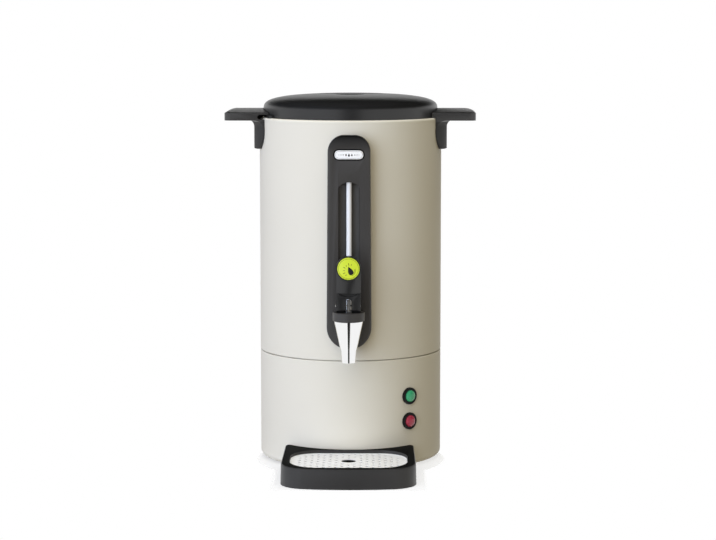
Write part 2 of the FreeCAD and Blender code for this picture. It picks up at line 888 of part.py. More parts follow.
def lid_profile(inset):
    # Points of the dome's section, from the skirt to the axis.
    radius = lid_r - inset
    height = lid_top_z - lid_skirt_z - inset
    points = []
    steps = 12
    for k in range(steps + 1):
        turn = math.radians(90 * k / steps)
        r = radius * math.cos(turn) ** (2 / dome_power)
        z = lid_skirt_z + height * math.sin(turn) ** (2 / dome_power)
        points.append(vec(r, 0, z))
    points[-1] = vec(0, 0, lid_skirt_z + height)
    return points


def lid_solid(inset, low):
    points = lid_profile(inset)
    curve = Part.BSplineCurve()
    curve.interpolate(points)
    foot = vec(points[0].x, 0, low)
    axis_low = vec(0, 0, low)
    outline = Part.Wire([
        Part.LineSegment(foot, points[0]).toShape(),
        curve.toShape(),
        Part.LineSegment(points[-1], axis_low).toShape(),
        Part.LineSegment(axis_low, foot).toShape(),
    ])
    return Part.Face(outline).revolve(vec(0, 0, 0), vec(0, 0, 1), 360)


def pocket(half_w, depth_y, side, grow, low):
    # Half an ellipse in plan, behind (side 1) or in front of (side -1) the grip bar.
    long_way = max(half_w, depth_y + grow) + grow
    short_way = min(half_w, depth_y + grow) + grow
    ellipse = Part.Ellipse(vec(0, 0, low), long_way, short_way)
    prism = Part.Face(Part.Wire([ellipse.toShape()])).extrude(vec(0, 0, lid_top_z - low + 5))
    if depth_y > half_w:
        prism = turned(prism, 90)
    straight = side * (bridge_half_w - grow)
    prism.translate(vec(0, straight, 0))
    far = straight + side * 2 * lid_r
    keep = block(-lid_r, lid_r, min(straight, far), max(straight, far), low, lid_top_z + 5)
    prism = prism.common(keep)
    uprights = edges_where(prism, lambda edge: edge.BoundBox.ZLength > 1)
    return prism.makeFillet(pocket_corner_r + grow, uprights)


def pockets(grow, low):
    return (pocket(finger_half_w, finger_depth_y, 1, grow, low),
            pocket(thumb_half_w, thumb_depth_y, -1, grow, low))


def lid_lug(angle):
    width = 2 * lug_r * math.sin(math.radians(lug_half_angle))
    lug = block(-width / 2, width / 2, -lug_r, -lid_r + lid_wall, lid_low_z, lid_low_z + lug_h)
    outer = edges_where(lug, lambda edge: abs(edge.BoundBox.YMin + lug_r) < 1e-3
                        and abs(edge.BoundBox.YMax + lug_r) < 1e-3 and edge.BoundBox.ZLength > 1)
    lug = lug.makeFillet(lug_corner_r, outer)
    lug = lug.cut(upright(lid_r - lid_wall / 2, lid_low_z - 1, lid_low_z + lug_h + 1))
    return turned(lug, angle)


def post_places():
    return [polar(post_circle_r, 45 + k * 360 / post_count) for k in range(post_count)]


def make_lid_shell():
    outside = lid_solid(0, lid_low_z)
    inside = lid_solid(lid_wall, lid_low_z - 1)
    wells = pockets(pocket_wall, pocket_floor_z - pocket_wall)
    cores = pockets(0, pocket_floor_z)
    posts = [upright(post_r, liner_top_z, lid_top_z, place.x, place.y) for place in post_places()]
    shell = outside.cut(inside)
    for well in wells:
        shell = shell.fuse(well.common(outside))
    for post in posts:
        shell = shell.fuse(post.common(outside))
    for core in cores:
        shell = shell.cut(core)
    for angle in (90 + lug_angle, -90 + lug_angle):
        shell = shell.fuse(lid_lug(angle))
    depth = liner_top_z - liner_t + lid_fixing_len + tip_room
    for place in post_places():
        shell = shell.cut(upright(m3_r + thread_gap, liner_top_z - 1, depth, place.x, place.y))
    return shell.removeSplitter()


def make_lid_liner():
    top = liner_top_z
    low = rim_z - plug_depth
    groove_high = rim_z - gasket_drop + moving_gap
    groove_low = rim_z - gasket_drop - gasket_h - moving_gap
    groove_r = gasket_r - gasket_t - moving_gap
    pan = spun([
        (0, top - liner_t),
        (groove_r - 2 * liner_t, top - liner_t),
        (groove_r - 2 * liner_t, low),
        (liner_r, low),
        (liner_r, groove_low),
        (groove_r, groove_low),
        (groove_r, groove_high),
        (liner_r, groove_high),
        (liner_r, top),
        (0, top),
    ])
    for place in post_places():
        pan = pan.cut(upright(m3_r + hole_gap, top - 5, top + 1, place.x, place.y))
    return pan


def make_lid_gasket():
    high = rim_z - gasket_drop
    return ring(gasket_r, gasket_r - gasket_t, high - gasket_h, high)


def make_lid_screws():
    seat_z = liner_top_z - liner_t
    return grouped([
        pan_screw(m3_r, m3_head_r, m3_head_h, lid_fixing_len,
                  vec(place.x, place.y, seat_z), vec(0, 0, 1))
        for place in post_places()
    ])


# Front panel

def panel_outline(inset):
    half = panel_half_w - inset
    top_half = panel_top_half_w - inset
    low_centre = panel_low_z + panel_half_w
    radius = panel_shoulder_r - inset
    top = panel_top_z - inset
    shoulder_x = top_half - radius
    shoulder_z = top - radius
    return [
        (half, low_centre, 0, panel_low_z + inset),
        (top_half, shoulder_z),
        (shoulder_x, top) + on_circle(shoulder_x, shoulder_z, radius, 45),
        (-shoulder_x, top),
        (-top_half, shoulder_z) + on_circle(-shoulder_x, shoulder_z, radius, 135),
        (-half, low_centre),
    ]


def channel_outline(grow):
    half = channel_half_w + grow
    low = shank_z
    side_top = channel_side_top_z
    return [
        (-half, low),
        (half, low),
        (half, side_top),
        (-half, side_top, 0, channel_top_z + grow),
    ]


def badge_outline(grow):
    return rounded_rectangle(badge_half_w + grow, badge_half_h + grow, badge_corner_r + grow, 0, badge_z)


def make_tap_panel():
    back = -(body_r - 20)
    hug = upright(body_r + seat_gap, 0, panel_top_z + 5)
    outside = front_prism(panel_outline(0), -panel_front, back)
    rim_edges = edges_where(outside, lambda edge: abs(edge.BoundBox.YMin + panel_front) < 1e-3
                            and abs(edge.BoundBox.YMax + panel_front) < 1e-3)
    outside = outside.makeFillet(panel_edge_r, rim_edges).cut(hug)
    cavity = front_prism(panel_outline(panel_wall), -panel_front + panel_wall, back)
    floor_y = -panel_front + channel_depth
    inserts = [
        front_prism(channel_outline(channel_wall), -panel_front, floor_y + channel_wall),
        block(-gauge_block_half_w, gauge_block_half_w, -panel_front + 1, gauge_y + port_r + 1,
              channel_side_top_z, gauge_cap_z + gauge_block_w),
        rod(panel_boss_r, vec(0, -panel_front + 1, high_boss_z), vec(0, back, high_boss_z)),
        rod(panel_boss_r, vec(0, floor_y, low_boss_z), vec(0, back, low_boss_z)),
        rod(shank_flange_r + panel_wall, vec(0, -panel_front + 1, shank_z), vec(0, back, shank_z)),
    ]
    panel = outside.cut(cavity)
    for insert in inserts:
        panel = panel.fuse(insert.common(outside))
    panel = panel.cut(front_prism(channel_outline(0), -panel_front - 1, floor_y))
    panel = panel.cut(upright(port_bore_r, channel_side_top_z, gauge_cap_z, 0, gauge_y))
    badge_back = -panel_front + badge_recess
    panel = panel.cut(front_prism(badge_outline(badge_margin), -panel_front - 1, badge_back))
    hole_r = shank_flange_r + seat_gap
    panel = panel.cut(rod(hole_r, vec(0, -panel_front - 1, shank_z), vec(0, back, shank_z)))
    for z, length in panel_fixings():
        tip_y = -(washer_face_r + length + tip_room)
        panel = panel.cut(rod(m4_r + thread_gap, vec(0, back, z), vec(0, tip_y, z)))
    return panel.removeSplitter()


def panel_fixings():
    # The lower screw is short, because it ends behind the floor of the gauge channel.
    floor_r = panel_front - channel_depth
    return (high_boss_z, panel_fixing_len), (low_boss_z, floor_r - panel_skin - tip_room - washer_face_r)


def make_badge_plate():
    back = -panel_front + badge_recess
    plate = front_prism(badge_outline(0), back - badge_t, back)
    rim = edges_where(plate, lambda edge: abs(edge.BoundBox.YMax - back + badge_t) < 1e-3)
    return plate.makeFillet(badge_edge_r, rim)


# Tap

def make_tap_body():
    blend = (cone_low_z + spout_neck_z) / 2
    outside = spun([
        (0, spout_tip_z),
        (spout_tip_r, spout_tip_z),
        (spout_neck_r, spout_neck_z),
        (cone_low_r, cone_low_z, (spout_neck_r + cone_low_r) / 2 - neck_hollow, blend),
        (cone_top_r, cone_top_z),
        (tap_neck_r, cone_top_z),
        (tap_neck_r, bonnet_seat_z),
        (0, bonnet_seat_z),
    ], 0, tap_y)
    outer_seat = -(body_r + seal_t)
    shank = rod(shank_r, vec(0, tap_y, shank_z), vec(0, -shank_inner_reach, shank_z))
    flange = rod(shank_flange_r, vec(0, outer_seat - shank_flange_t, shank_z), vec(0, outer_seat, shank_z))
    port = upright(port_r, shank_z, port_top_z, 0, gauge_y)
    solid = fused([outside, shank, flange, port])
    solid = solid.cut(upright(outlet_r, spout_tip_z - 1, seat_z + 1, 0, tap_y))
    chamber = ring(chamber_r, outlet_r + seat_ring_t, seat_z, seat_z + seat_ring_h, 0, tap_y)
    chamber = chamber.fuse(upright(chamber_r, seat_z + seat_ring_h, bonnet_seat_z + 1, 0, tap_y))
    solid = solid.cut(chamber)
    solid = solid.cut(upright(outlet_r, seat_z, seat_z + seat_ring_h + 1, 0, tap_y))
    solid = solid.cut(rod(shank_bore_r, vec(0, tap_y, shank_z), vec(0, -shank_inner_reach + 1, shank_z)))
    solid = solid.cut(upright(port_passage_r, shank_z, port_top_z + 1, 0, gauge_y))
    return solid.cut(upright(port_bore_r, port_floor_z, port_top_z + 1, 0, gauge_y))


def make_shank_seals():
    z_low = shank_z - shank_flange_r - 1
    z_high = shank_z + shank_flange_r + 1
    hole = rod(shank_r + thread_gap, vec(0, -body_r - 10, shank_z), vec(0, -body_r + 20, shank_z))
    outer = rod(shank_flange_r, vec(0, -body_r - seal_t, shank_z), vec(0, -body_r + 5, shank_z))
    outer = outer.cut(upright(body_r, z_low, z_high)).cut(hole)
    inner = rod(shank_flange_r, vec(0, -inner_r - 5, shank_z), vec(0, -inner_r + seal_t, shank_z))
    inner = inner.common(upright(inner_r, z_low, z_high)).cut(hole)
    return grouped([outer, inner])


def make_shank_nut():
    radius = nut_across_flats / math.sqrt(3)
    corners = [on_circle(0, shank_z, radius, 60 * k) for k in range(6)]
    nut = front_prism(corners, -nut_near_r, -nut_far_r)
    return nut.cut(rod(shank_r + thread_gap, vec(0, -inner_r, shank_z), vec(0, -shank_inner_reach, shank_z)))


def make_tap_bonnet():
    bore = stem_r + running_gap
    return spun([
        (bore, bonnet_low_z),
        (chamber_r - seat_gap, bonnet_low_z),
        (chamber_r - seat_gap, bonnet_seat_z),
        (tap_neck_r - seat_gap, bonnet_seat_z),
        (tap_neck_r - seat_gap, bonnet_lip_z),
        (bonnet_boss_r, bonnet_lip_z),
        (bonnet_boss_r, nut_top_z),
        (bore, nut_top_z),
    ], 0, tap_y)


def make_bonnet_nut():
    return spun([
        (tap_neck_r + thread_gap, cone_top_z),
        (collar_nut_r, cone_top_z),
        (collar_nut_r, nut_top_z - collar_nut_edge),
        (collar_nut_r - collar_nut_edge, nut_top_z),
        (nut_lip_r, nut_top_z),
        (nut_lip_r, bonnet_lip_z),
        (tap_neck_r + thread_gap, bonnet_lip_z),
    ], 0, tap_y)


def make_tap_stem():
    stem = upright(stem_r, cup_top_z - stem_in_cup, pin_z + stem_top_rise, 0, tap_y)
    top = edges_where(stem, lambda edge: flat_at(edge, pin_z + stem_top_rise))
    stem = stem.makeFillet(stem_r * 0.5, top)
    stem = stem.fuse(upright(spring_cup_r, cup_top_z, cup_top_z + spring_cup_t, 0, tap_y))
    return stem.cut(rod(pin_r + pin_gap, vec(-lever_half_w, tap_y, pin_z), vec(lever_half_w, tap_y, pin_z)))


def make_seat_cup():
    cup = spun([
        (0, cup_low_z),
        (cup_r, cup_low_z),
        (cup_r, cup_low_z + cup_rim_h),
        (cup_top_r, cup_top_z),
        (0, cup_top_z),
    ], 0, tap_y)
    return cup.cut(upright(stem_r, cup_top_z - stem_in_cup, cup_top_z + 1, 0, tap_y))


def make_tap_spring():
    low = cup_top_z + spring_cup_t + spring_wire_r
    high = bonnet_low_z - spring_wire_r
    pitch = (high - low) / spring_turns
    helix = Part.makeHelix(pitch, high - low, spring_r)
    helix.translate(vec(0, tap_y, low))
    circle = Part.Circle(vec(spring_r, tap_y, low), vec(0, 1, 0), spring_wire_r).toShape()
    return Part.Wire(helix.Edges).makePipeShell([Part.Wire([circle])], True, True)


# Lever

def lever_side():
    # Seen from the side: a cam foot, a waist behind, a flat plate above.
    front = lever_front_y
    back = tap_y + lever_low_back
    plate = front + lever_plate_t
    top = lever_head_z + lever_top_r
    cam_z = foot_z + lever_cam_r
    cam_front = on_circle(front + lever_cam_r, cam_z, lever_cam_r, 225)
    cam_back = on_circle(back - lever_cam_r, cam_z, lever_cam_r, -45)
    return [
        (back - lever_cam_r, foot_z),
        (back, cam_z) + cam_back,
        (back, slot_top_z),
        (plate, lever_waist_z),
        (plate, top),
        (front, top),
        (front, cam_z),
        (front + lever_cam_r, foot_z) + cam_front,
    ]


def lever_front(low):
    # Seen from the front: straight sides under a round head.
    side = lever_top_r
    return [
        (-lever_half_w, low),
        (lever_half_w, low),
        (lever_half_w, lever_step_z),
        (side, lever_lip_z),
        (side, lever_head_z),
        (-side, lever_head_z, 0, lever_head_z + side),
        (-side, lever_lip_z),
        (-lever_half_w, lever_step_z),
    ]


def make_tap_lever():
    wide = lever_top_r + 1
    front = lever_front_y
    bulge = plan_prism([
        (-lever_top_r, front),
        (lever_top_r, front, 0, front - lever_crown),
        (lever_top_r, front + 1),
        (-lever_top_r, front + 1),
    ], lever_lip_z, lever_head_z + lever_top_r)
    lever = side_prism(lever_side(), -wide, wide).fuse(bulge)
    lever = lever.common(front_prism(lever_front(foot_z - 1), tap_y - 30, tap_y + 30))
    boss_face = vec(0, lever_face_y, lever_head_z)
    lever = lever.cut(rod(lever_top_r, vec(0, tap_y - 30, lever_head_z), boss_face))
    lever = lever.fuse(rod(lever_top_r, boss_face, vec(0, front + 1, lever_head_z)))
    slot = front_prism([
        (-slot_half_w, foot_z - 1),
        (slot_half_w, foot_z - 1),
        (slot_half_w, slot_top_z - slot_half_w),
        (-slot_half_w, slot_top_z - slot_half_w, 0, slot_top_z),
    ], tap_y - 30, tap_y + 30)
    nail_top = lever_lip_z - nail_gap
    nail = front_prism([
        (-nail_half_w, nail_top),
        (nail_half_w, nail_top),
        (nail_half_w, nail_top - nail_end_h),
        (-nail_half_w, nail_top - nail_end_h, 0, nail_top - nail_h),
    ], tap_y - 30, front + nail_depth)
    lever = lever.cut(slot).cut(nail)
    lever = lever.cut(rod(pin_r + running_gap, vec(-wide, tap_y, pin_z), vec(wide, tap_y, pin_z)))
    recess = rod(disc_r + seat_gap, vec(0, lever_face_y - 5, lever_head_z),
                 vec(0, lever_face_y + disc_recess, lever_head_z))
    return lever.cut(recess).removeSplitter()


def make_lever_disc():
    back = lever_face_y + disc_recess
    face = back - disc_recess - disc_t
    disc = rod(disc_r, vec(0, face, lever_head_z), vec(0, back, lever_head_z))
    rim = edges_where(disc, lambda edge: abs(edge.BoundBox.YMax - face) < 1e-3)
    return disc.makeFillet(disc_edge_r, rim)


def make_lever_pin():
    end = lever_half_w + pin_end_gap
    pin = rod(pin_r, vec(-end, tap_y, pin_z), vec(end, tap_y, pin_z))
    head = rod(pin_head_r, vec(-end - pin_head_h, tap_y, pin_z), vec(-end, tap_y, pin_z))
    rim = edges_where(head, lambda edge: abs(edge.BoundBox.XMax + end + pin_head_h) < 1e-3)
    return head.makeFillet(pin_head_edge_r, rim).fuse(pin)


# Level gauge

def make_gauge_tube():
    return ring(gauge_r, gauge_bore_r, port_floor_z + gauge_foot, gauge_top_z, 0, gauge_y)


def make_gauge_bottom_seal():
    lip_z = port_top_z + port_lip_t
    plug = upright(port_bore_r, port_floor_z, port_top_z, 0, gauge_y)
    lip = upright(port_r - port_lip_in, port_top_z, lip_z, 0, gauge_y)
    seal = plug.fuse(lip).cut(upright(gauge_r, port_floor_z + gauge_foot, lip_z + 1, 0, gauge_y))
    return seal.cut(upright(port_passage_r, port_floor_z - 1, lip_z, 0, gauge_y))


def make_gauge_top_seal():
    low = gauge_cap_z - gauge_seal_h
    cap = upright(port_bore_r, low, gauge_cap_z, 0, gauge_y)
    return cap.cut(upright(gauge_r, low - 1, gauge_top_z, 0, gauge_y))


# Heater and controls, all under the tank's floor

def element_ring():
    centre_z = heater_low_z - element_r * (1 - element_sunk)
    torus = Part.makeTorus(element_circle_r, element_r, vec(0, 0, centre_z), vec(0, 0, 1), -180, 180,
                           360 - element_gap_angle)
    torus.rotate(vec(0, 0, 0), vec(0, 0, 1), 90 + element_gap_angle / 2)
    return torus, centre_z


def make_heater_plate():
    torus = element_ring()[0]
    return upright(heater_r, heater_low_z, floor_low_z).cut(torus)


def make_heating_element():
    torus, centre_z = element_ring()
    solid = torus
    for side in (-1, 1):
        turn = math.radians(90 + side * element_gap_angle / 2)
        x = element_circle_r * math.cos(turn)
        y = element_circle_r * math.sin(turn)
        solid = solid.fuse(Part.makeSphere(element_r, vec(x, y, centre_z)).common(
            upright(element_r, centre_z - element_r, centre_z, x, y)))
        solid = solid.fuse(upright(element_pin_r, centre_z - element_pin_len, centre_z, x, y))
    return solid.removeSplitter()


def element_pins():
    centre_z = element_ring()[1]
    places = []
    for side in (-1, 1):
        turn = math.radians(90 + side * element_gap_angle / 2)
        places.append(vec(element_circle_r * math.cos(turn), element_circle_r * math.sin(turn),
                          centre_z - element_pin_len))
    return places


def thermostat(x, y):
    low = heater_low_z - thermostat_h
    can = upright(thermostat_r, heater_low_z - thermostat_can_h, heater_low_z, x, y)
    body = upright(thermostat_r - thermostat_step, low, heater_low_z - 1, x, y)
    blades = []
    for side in (-1, 1):
        blade_x = x + side * blade_half_gap
        blades.append(block(blade_x - blade_half_t, blade_x + blade_half_t, y - blade_half_w,
                            y + blade_half_w, low - blade_len, low + thermostat_can_h))
    return fused([can, body] + blades)


def make_cutout():
    low = flange_z
    body = block(cutout_x - cutout_half_w, cutout_x + cutout_half_w, cutout_y - cutout_half_d,
                 cutout_y + cutout_half_d, low, low + cutout_h)
    uprights = edges_where(body, lambda edge: edge.BoundBox.ZLength > 1)
    body = body.makeFillet(cutout_corner_r, uprights)
    depth = low + button_len + button_travel
    return body.cut(upright(button_r + running_gap, low - 1, depth, cutout_x, cutout_y))


def make_reset_button():
    low = plate_low_z - button_out
    button = upright(button_r, low, low + button_len, cutout_x, cutout_y)
    return button.makeFillet(button_edge_r, edges_where(button, lambda edge: flat_at(edge, low)))


def make_capillary():
    start = vec(cutout_x, cutout_y, flange_z + cutout_h)
    high = heater_low_z - bulb_r
    corner = vec(cutout_x, cutout_y, high)
    end = vec(cutout_x + capillary_bend_r + capillary_run, cutout_y, high)
    tube = lead([start, corner, end], capillary_r, capillary_bend_r)
    bulb = rod(bulb_r, end, vec(end.x + bulb_len, cutout_y, high))
    return fused([tube, bulb])


def way_places():
    z = flange_z + block_h - way_depth
    return [vec(block_x + (k - (way_count - 1) / 2) * way_pitch, block_y, z) for k in range(way_count)]


def make_terminal_block():
    low = flange_z
    body = block(block_x - block_half_w, block_x + block_half_w, block_y - block_half_d,
                 block_y + block_half_d, low, low + block_h)
    for way in way_places():
        body = body.cut(upright(way_r, way.z, low + block_h + 1, way.x, way.y))
    return body


def make_thermal_fuse():
    # It lies along the heater plate's underside.
    z = heater_low_z - fuse_r
    return rod(fuse_r, vec(-fuse_offset, -fuse_len / 2, z), vec(-fuse_offset, fuse_len / 2, z))


def make_internal_wires():
    pins = element_pins()
    ways = way_places()
    run_z = heater_low_z - lead_drop
    leads = []
    for start, pin, z in ((ways[2], pins[0], run_z), (ways[1], pins[1], run_z - lead_step)):
        leads.append(lead([start, vec(start.x, start.y, z), vec(pin.x, pin.y, z), pin], lead_r, lead_bend_r))
    earth = ways[0]
    tail = vec(inlet_x - pole_half_spacing, pole_back_y, rear_z - pole_rise)
    leads.append(lead([earth, vec(earth.x, earth.y, tail.z), vec(tail.x, earth.y + way_r, tail.z), tail],
                      lead_r, earth_bend_r))
    return grouped(leads)


# Lamps: built facing the front, then turned to their place

def lamp_housing(z):
    face = -(body_r + bezel_out)
    bezel = rod(bezel_r, vec(0, face, z), vec(0, -body_r + 5, z))
    rim = edges_where(bezel, lambda edge: abs(edge.BoundBox.YMax - face) < 1e-3)
    bezel = bezel.makeFillet(bezel_edge_r, rim).cut(upright(body_r, z - bezel_r - 1, z + bezel_r + 1))
    barrel = rod(barrel_r, vec(0, face + 1, z), vec(0, face + barrel_len, z))
    solid = fused([bezel, barrel])
    solid = solid.cut(rod(lens_r + seat_gap, vec(0, face - 1, z), vec(0, face + lens_seat_depth, z)))
    return solid.cut(rod(neon_r + neon_gap, vec(0, face, z), vec(0, face + barrel_len - barrel_end_t, z)))


def lamp_lens(z):
    face = -(body_r + bezel_out)
    start = face + lens_seat_depth
    edge = face - lens_rise
    top = edge - lens_dome_h
    barrel = rod(lens_r, vec(0, start, z), vec(0, edge, z))
    dome_r = (lens_r ** 2 + lens_dome_h ** 2) / (2 * lens_dome_h)
    dome = Part.makeSphere(dome_r, vec(0, top + dome_r, z))
    dome = dome.common(rod(lens_r, vec(0, edge, z), vec(0, top - 1, z)))
    solid = fused([barrel, dome])
    return solid.cut(rod(neon_r + neon_gap, vec(0, start + 1, z), vec(0, face + lens_wall, z)))


def lamp_nut(z):
    near = body_r - base_wall - lamp_nut_gap
    nut = rod(lamp_nut_r, vec(0, -near, z), vec(0, -near + lamp_nut_t, z))
    return nut.cut(rod(barrel_r + thread_gap, vec(0, -near - 1, z), vec(0, -near + lamp_nut_t + 1, z)))


def neon_bulb(z):
    face = -(body_r + bezel_out)
    end = face + barrel_len - barrel_end_t
    glass = rod(neon_r, vec(0, end - neon_len, z), vec(0, end, z))
    tip = edges_where(glass, lambda edge: abs(edge.BoundBox.YMax - end + neon_len) < 1e-3)
    return glass.makeFillet(neon_r * 0.8, tip)


def make_lamp(part_of, heights):
    return grouped([turned(part_of(z), lamp_angle) for z in heights])


# Rear connection panel with inlet and switch

def make_rear_panel():
    outline = rounded_rectangle(rear_half_w, rear_half_h, rear_corner_r, 0, rear_z)
    plate = front_prism(outline, body_r - 30, rear_face_y)
    rim = edges_where(plate, lambda edge: abs(edge.BoundBox.YMin - rear_face_y) < 1e-3)
    plate = plate.makeFillet(rear_edge_r, rim).cut(upright(body_r + seat_gap, 0, base_top_z))
    half_w = rear_hole_half_w - seat_gap
    half_h = rear_hole_half_h - seat_gap
    box = block(-half_w, half_w, rear_box_reach, rear_face_y - 1, rear_z - half_h, rear_z + half_h)
    panel = fused([plate, box])
    for x, half_w, half_h in ((inlet_x, inlet_body_half_w, inlet_body_half_h),
                              (switch_x, switch_body_half_w, switch_body_half_h)):
        panel = panel.cut(block(x - half_w - seat_gap, x + half_w + seat_gap, rear_box_reach - 1,
                                rear_face_y + 1, rear_z - half_h - seat_gap, rear_z + half_h + seat_gap))
    for x in (-rear_fixing_x, rear_fixing_x):
        panel = panel.cut(rod(m3_r + hole_gap, vec(x, 0, rear_z), vec(x, rear_face_y + 1, rear_z)))
        panel = panel.cut(rod(m3_head_r + hole_gap, vec(x, rear_face_y - m3_head_h, rear_z),
                              vec(x, rear_face_y + 1, rear_z)))
    return panel


def make_rear_screws():
    seat_y = rear_face_y - m3_head_h
    return grouped([
        pan_screw(m3_r, m3_head_r, m3_head_h, rear_fixing_len, vec(x, seat_y, rear_z), vec(0, -1, 0))
        for x in (-rear_fixing_x, rear_fixing_x)
    ])


def make_inlet_socket():
    back = inlet_face_y - inlet_body_depth
    mouth_back = inlet_face_y - inlet_mouth_depth
    outline = rounded_rectangle(inlet_half_w, inlet_half_h, inlet_corner_r, inlet_x, rear_z)
    flange = front_prism(outline, rear_face_y, inlet_face_y)
    body = block(inlet_x - inlet_body_half_w, inlet_x + inlet_body_half_w, back, inlet_face_y,
                 rear_z - inlet_body_half_h, rear_z + inlet_body_half_h)
    socket = fused([flange, body])
    w = inlet_mouth_half_w
    h = inlet_mouth_half_h
    mouth = front_prism([
        (inlet_x - w, rear_z - h),
        (inlet_x + w, rear_z - h),
        (inlet_x + w, rear_z + h - inlet_chamfer),
        (inlet_x + w - inlet_chamfer, rear_z + h),
        (inlet_x - w + inlet_chamfer, rear_z + h),
        (inlet_x - w, rear_z + h - inlet_chamfer),
    ], mouth_back, inlet_face_y + 1)
    socket = socket.cut(mouth)
    for x, z in pole_places():
        socket = socket.cut(pole_block(x, z, back - 1, mouth_back + 1))
    return socket


def pole_places():
    return ((inlet_x - pole_half_spacing, rear_z - pole_rise), (inlet_x, rear_z + pole_rise),
            (inlet_x + pole_half_spacing, rear_z - pole_rise))


def pole_block(x, z, y0, y1):
    return block(x - pole_half_t, x + pole_half_t, y0, y1, z - pole_half_h, z + pole_half_h)


def make_inlet_pins():
    tip = inlet_face_y - inlet_mouth_depth + pole_free_len
    return grouped([pole_block(x, z, pole_back_y, tip) for x, z in pole_places()])


def rocker_pivot():
    return vec(switch_x, rear_face_y - rocker_pivot_depth, rear_z)


def make_switch_frame():
    face = rear_face_y + switch_frame_t
    back = rear_face_y - switch_body_depth
    outline = rounded_rectangle(switch_half_w, switch_half_h, switch_corner_r, switch_x, rear_z)
    flange = front_prism(outline, rear_face_y, face)
    body = block(switch_x - switch_body_half_w, switch_x + switch_body_half_w, back, face,
                 rear_z - switch_body_half_h, rear_z + switch_body_half_h)
    frame = fused([flange, body])
    half_w = switch_body_half_w - switch_wall
    half_h = switch_body_half_h - switch_end_wall
    frame = frame.cut(block(switch_x - half_w, switch_x + half_w, back + switch_floor_t, face + 1,
                            rear_z - half_h, rear_z + half_h))
    pivot = rocker_pivot()
    axle_end = vec(switch_body_half_w - switch_wall / 4, 0, 0)
    frame = frame.cut(rod(rocker_axle_r + running_gap, pivot - axle_end, pivot + axle_end))
    for side in (-1, 1):
        x = switch_x + side * switch_blade_half_gap
        frame = frame.fuse(block(x - blade_half_t, x + blade_half_t, back - blade_len, back + 1,
                                 rear_z - blade_half_w, rear_z + blade_half_w))
    return frame.removeSplitter()


def make_switch_rocker():
    # Two flats that meet in a shallow vee. At rest its lower half is pressed in: off.
    pivot = rocker_pivot()
    half_w = switch_body_half_w - switch_wall - moving_gap
    vee = rocker_half_h * math.tan(rocker_lean)
    edge_y = pivot.y + rocker_edge_y
    skirt_y = pivot.y + rocker_skirt
    skirt_h = rocker_half_h * rocker_skirt_share
    keel_y = pivot.y - rocker_keel
    keel_h = rocker_half_h * rocker_keel_share
    rocker = side_prism([
        (keel_y, pivot.z - keel_h),
        (skirt_y, pivot.z - skirt_h),
        (edge_y, pivot.z - rocker_half_h),
        (edge_y - vee, pivot.z),
        (edge_y, pivot.z + rocker_half_h),
        (skirt_y, pivot.z + skirt_h),
        (keel_y, pivot.z + keel_h),
    ], switch_x - half_w, switch_x + half_w)
    axle_end = vec(half_w + moving_gap + rocker_axle_in, 0, 0)
    rocker = rocker.fuse(rod(rocker_axle_r, pivot - axle_end, pivot + axle_end))
    rocker.rotate(pivot, vec(1, 0, 0), -rocker_tilt)
    return rocker


# Percolator insert

def make_pump_tube():
    low = floor_z + moving_gap
    bell = spun([
        (bell_r - bell_wall, low),
        (bell_r, low),
        (tube_r + bell_wall, low + bell_h),
        (tube_r, low + bell_h),
        (tube_bore_r, low + bell_h - bell_wall),
    ])
    tube = ring(tube_r, tube_bore_r, low + bell_h - bell_wall, tube_top_z)
    collar = ring(collar_r, tube_r - 0.5, basket_z - collar_h, basket_z)
    whole = fused([bell, tube, collar])
    for k in range(bell_slots):
        notch = block(-bell_slot_half_w, bell_slot_half_w, -bell_r - 1, -bell_r + bell_slot_depth,
                      low - 1, low + bell_slot_h)
        whole = whole.cut(turned(notch, k * 360 / bell_slots))
    return whole


def holes_in_rings(radius, first_ring, ring_pitch, count, spacing, low, high):
    holes = []
    for k in range(count):
        circle = first_ring + k * ring_pitch
        number = int(2 * math.pi * circle / spacing)
        for n in range(number):
            place = polar(circle, 360 * (n + 0.5 * (k % 2)) / number)
            holes.append(upright(radius, low, high, place.x, place.y))
    return Part.makeCompound(holes)


def make_filter_basket():
    low = basket_z + moving_gap
    high = low + basket_h
    cup = upright(basket_r, low, high).cut(upright(basket_r - basket_wall, low + basket_wall, high + 1))
    bead = ring(basket_r + bead_out, basket_r - basket_wall / 2, high - bead_h, high)
    sleeve = upright(sleeve_r, low, high - sleeve_drop)
    basket = fused([cup, bead, sleeve]).cut(upright(tube_r + moving_gap, low - 1, high + 1))
    return basket.cut(holes_in_rings(basket_hole_r, basket_ring_start, basket_ring_pitch, basket_ring_count,
                                     basket_hole_pitch, low - 1, low + basket_wall + 1))


def make_basket_cover():
    low = basket_z + moving_gap + basket_h + moving_gap
    top = low + cover_knob_h
    rim_r = basket_r - basket_wall - moving_gap
    disc = upright(basket_r + bead_out, low, low + cover_t)
    rim = ring(rim_r, rim_r - cover_t, low - cover_rim_h, low + cover_t / 2)
    knob = ring(cover_knob_r, cover_knob_r - cover_knob_wall, low, top)
    cap = upright(cover_knob_r, top - cover_knob_wall, top)
    cover = fused([disc, rim, knob, cap]).cut(upright(tube_r + moving_gap, low - 1, top + 1))
    return cover.cut(holes_in_rings(basket_hole_r, cover_ring_start, cover_ring_pitch, cover_ring_count,
                                    cover_hole_pitch, low - 1, low + cover_t + 1))


# Drip tray

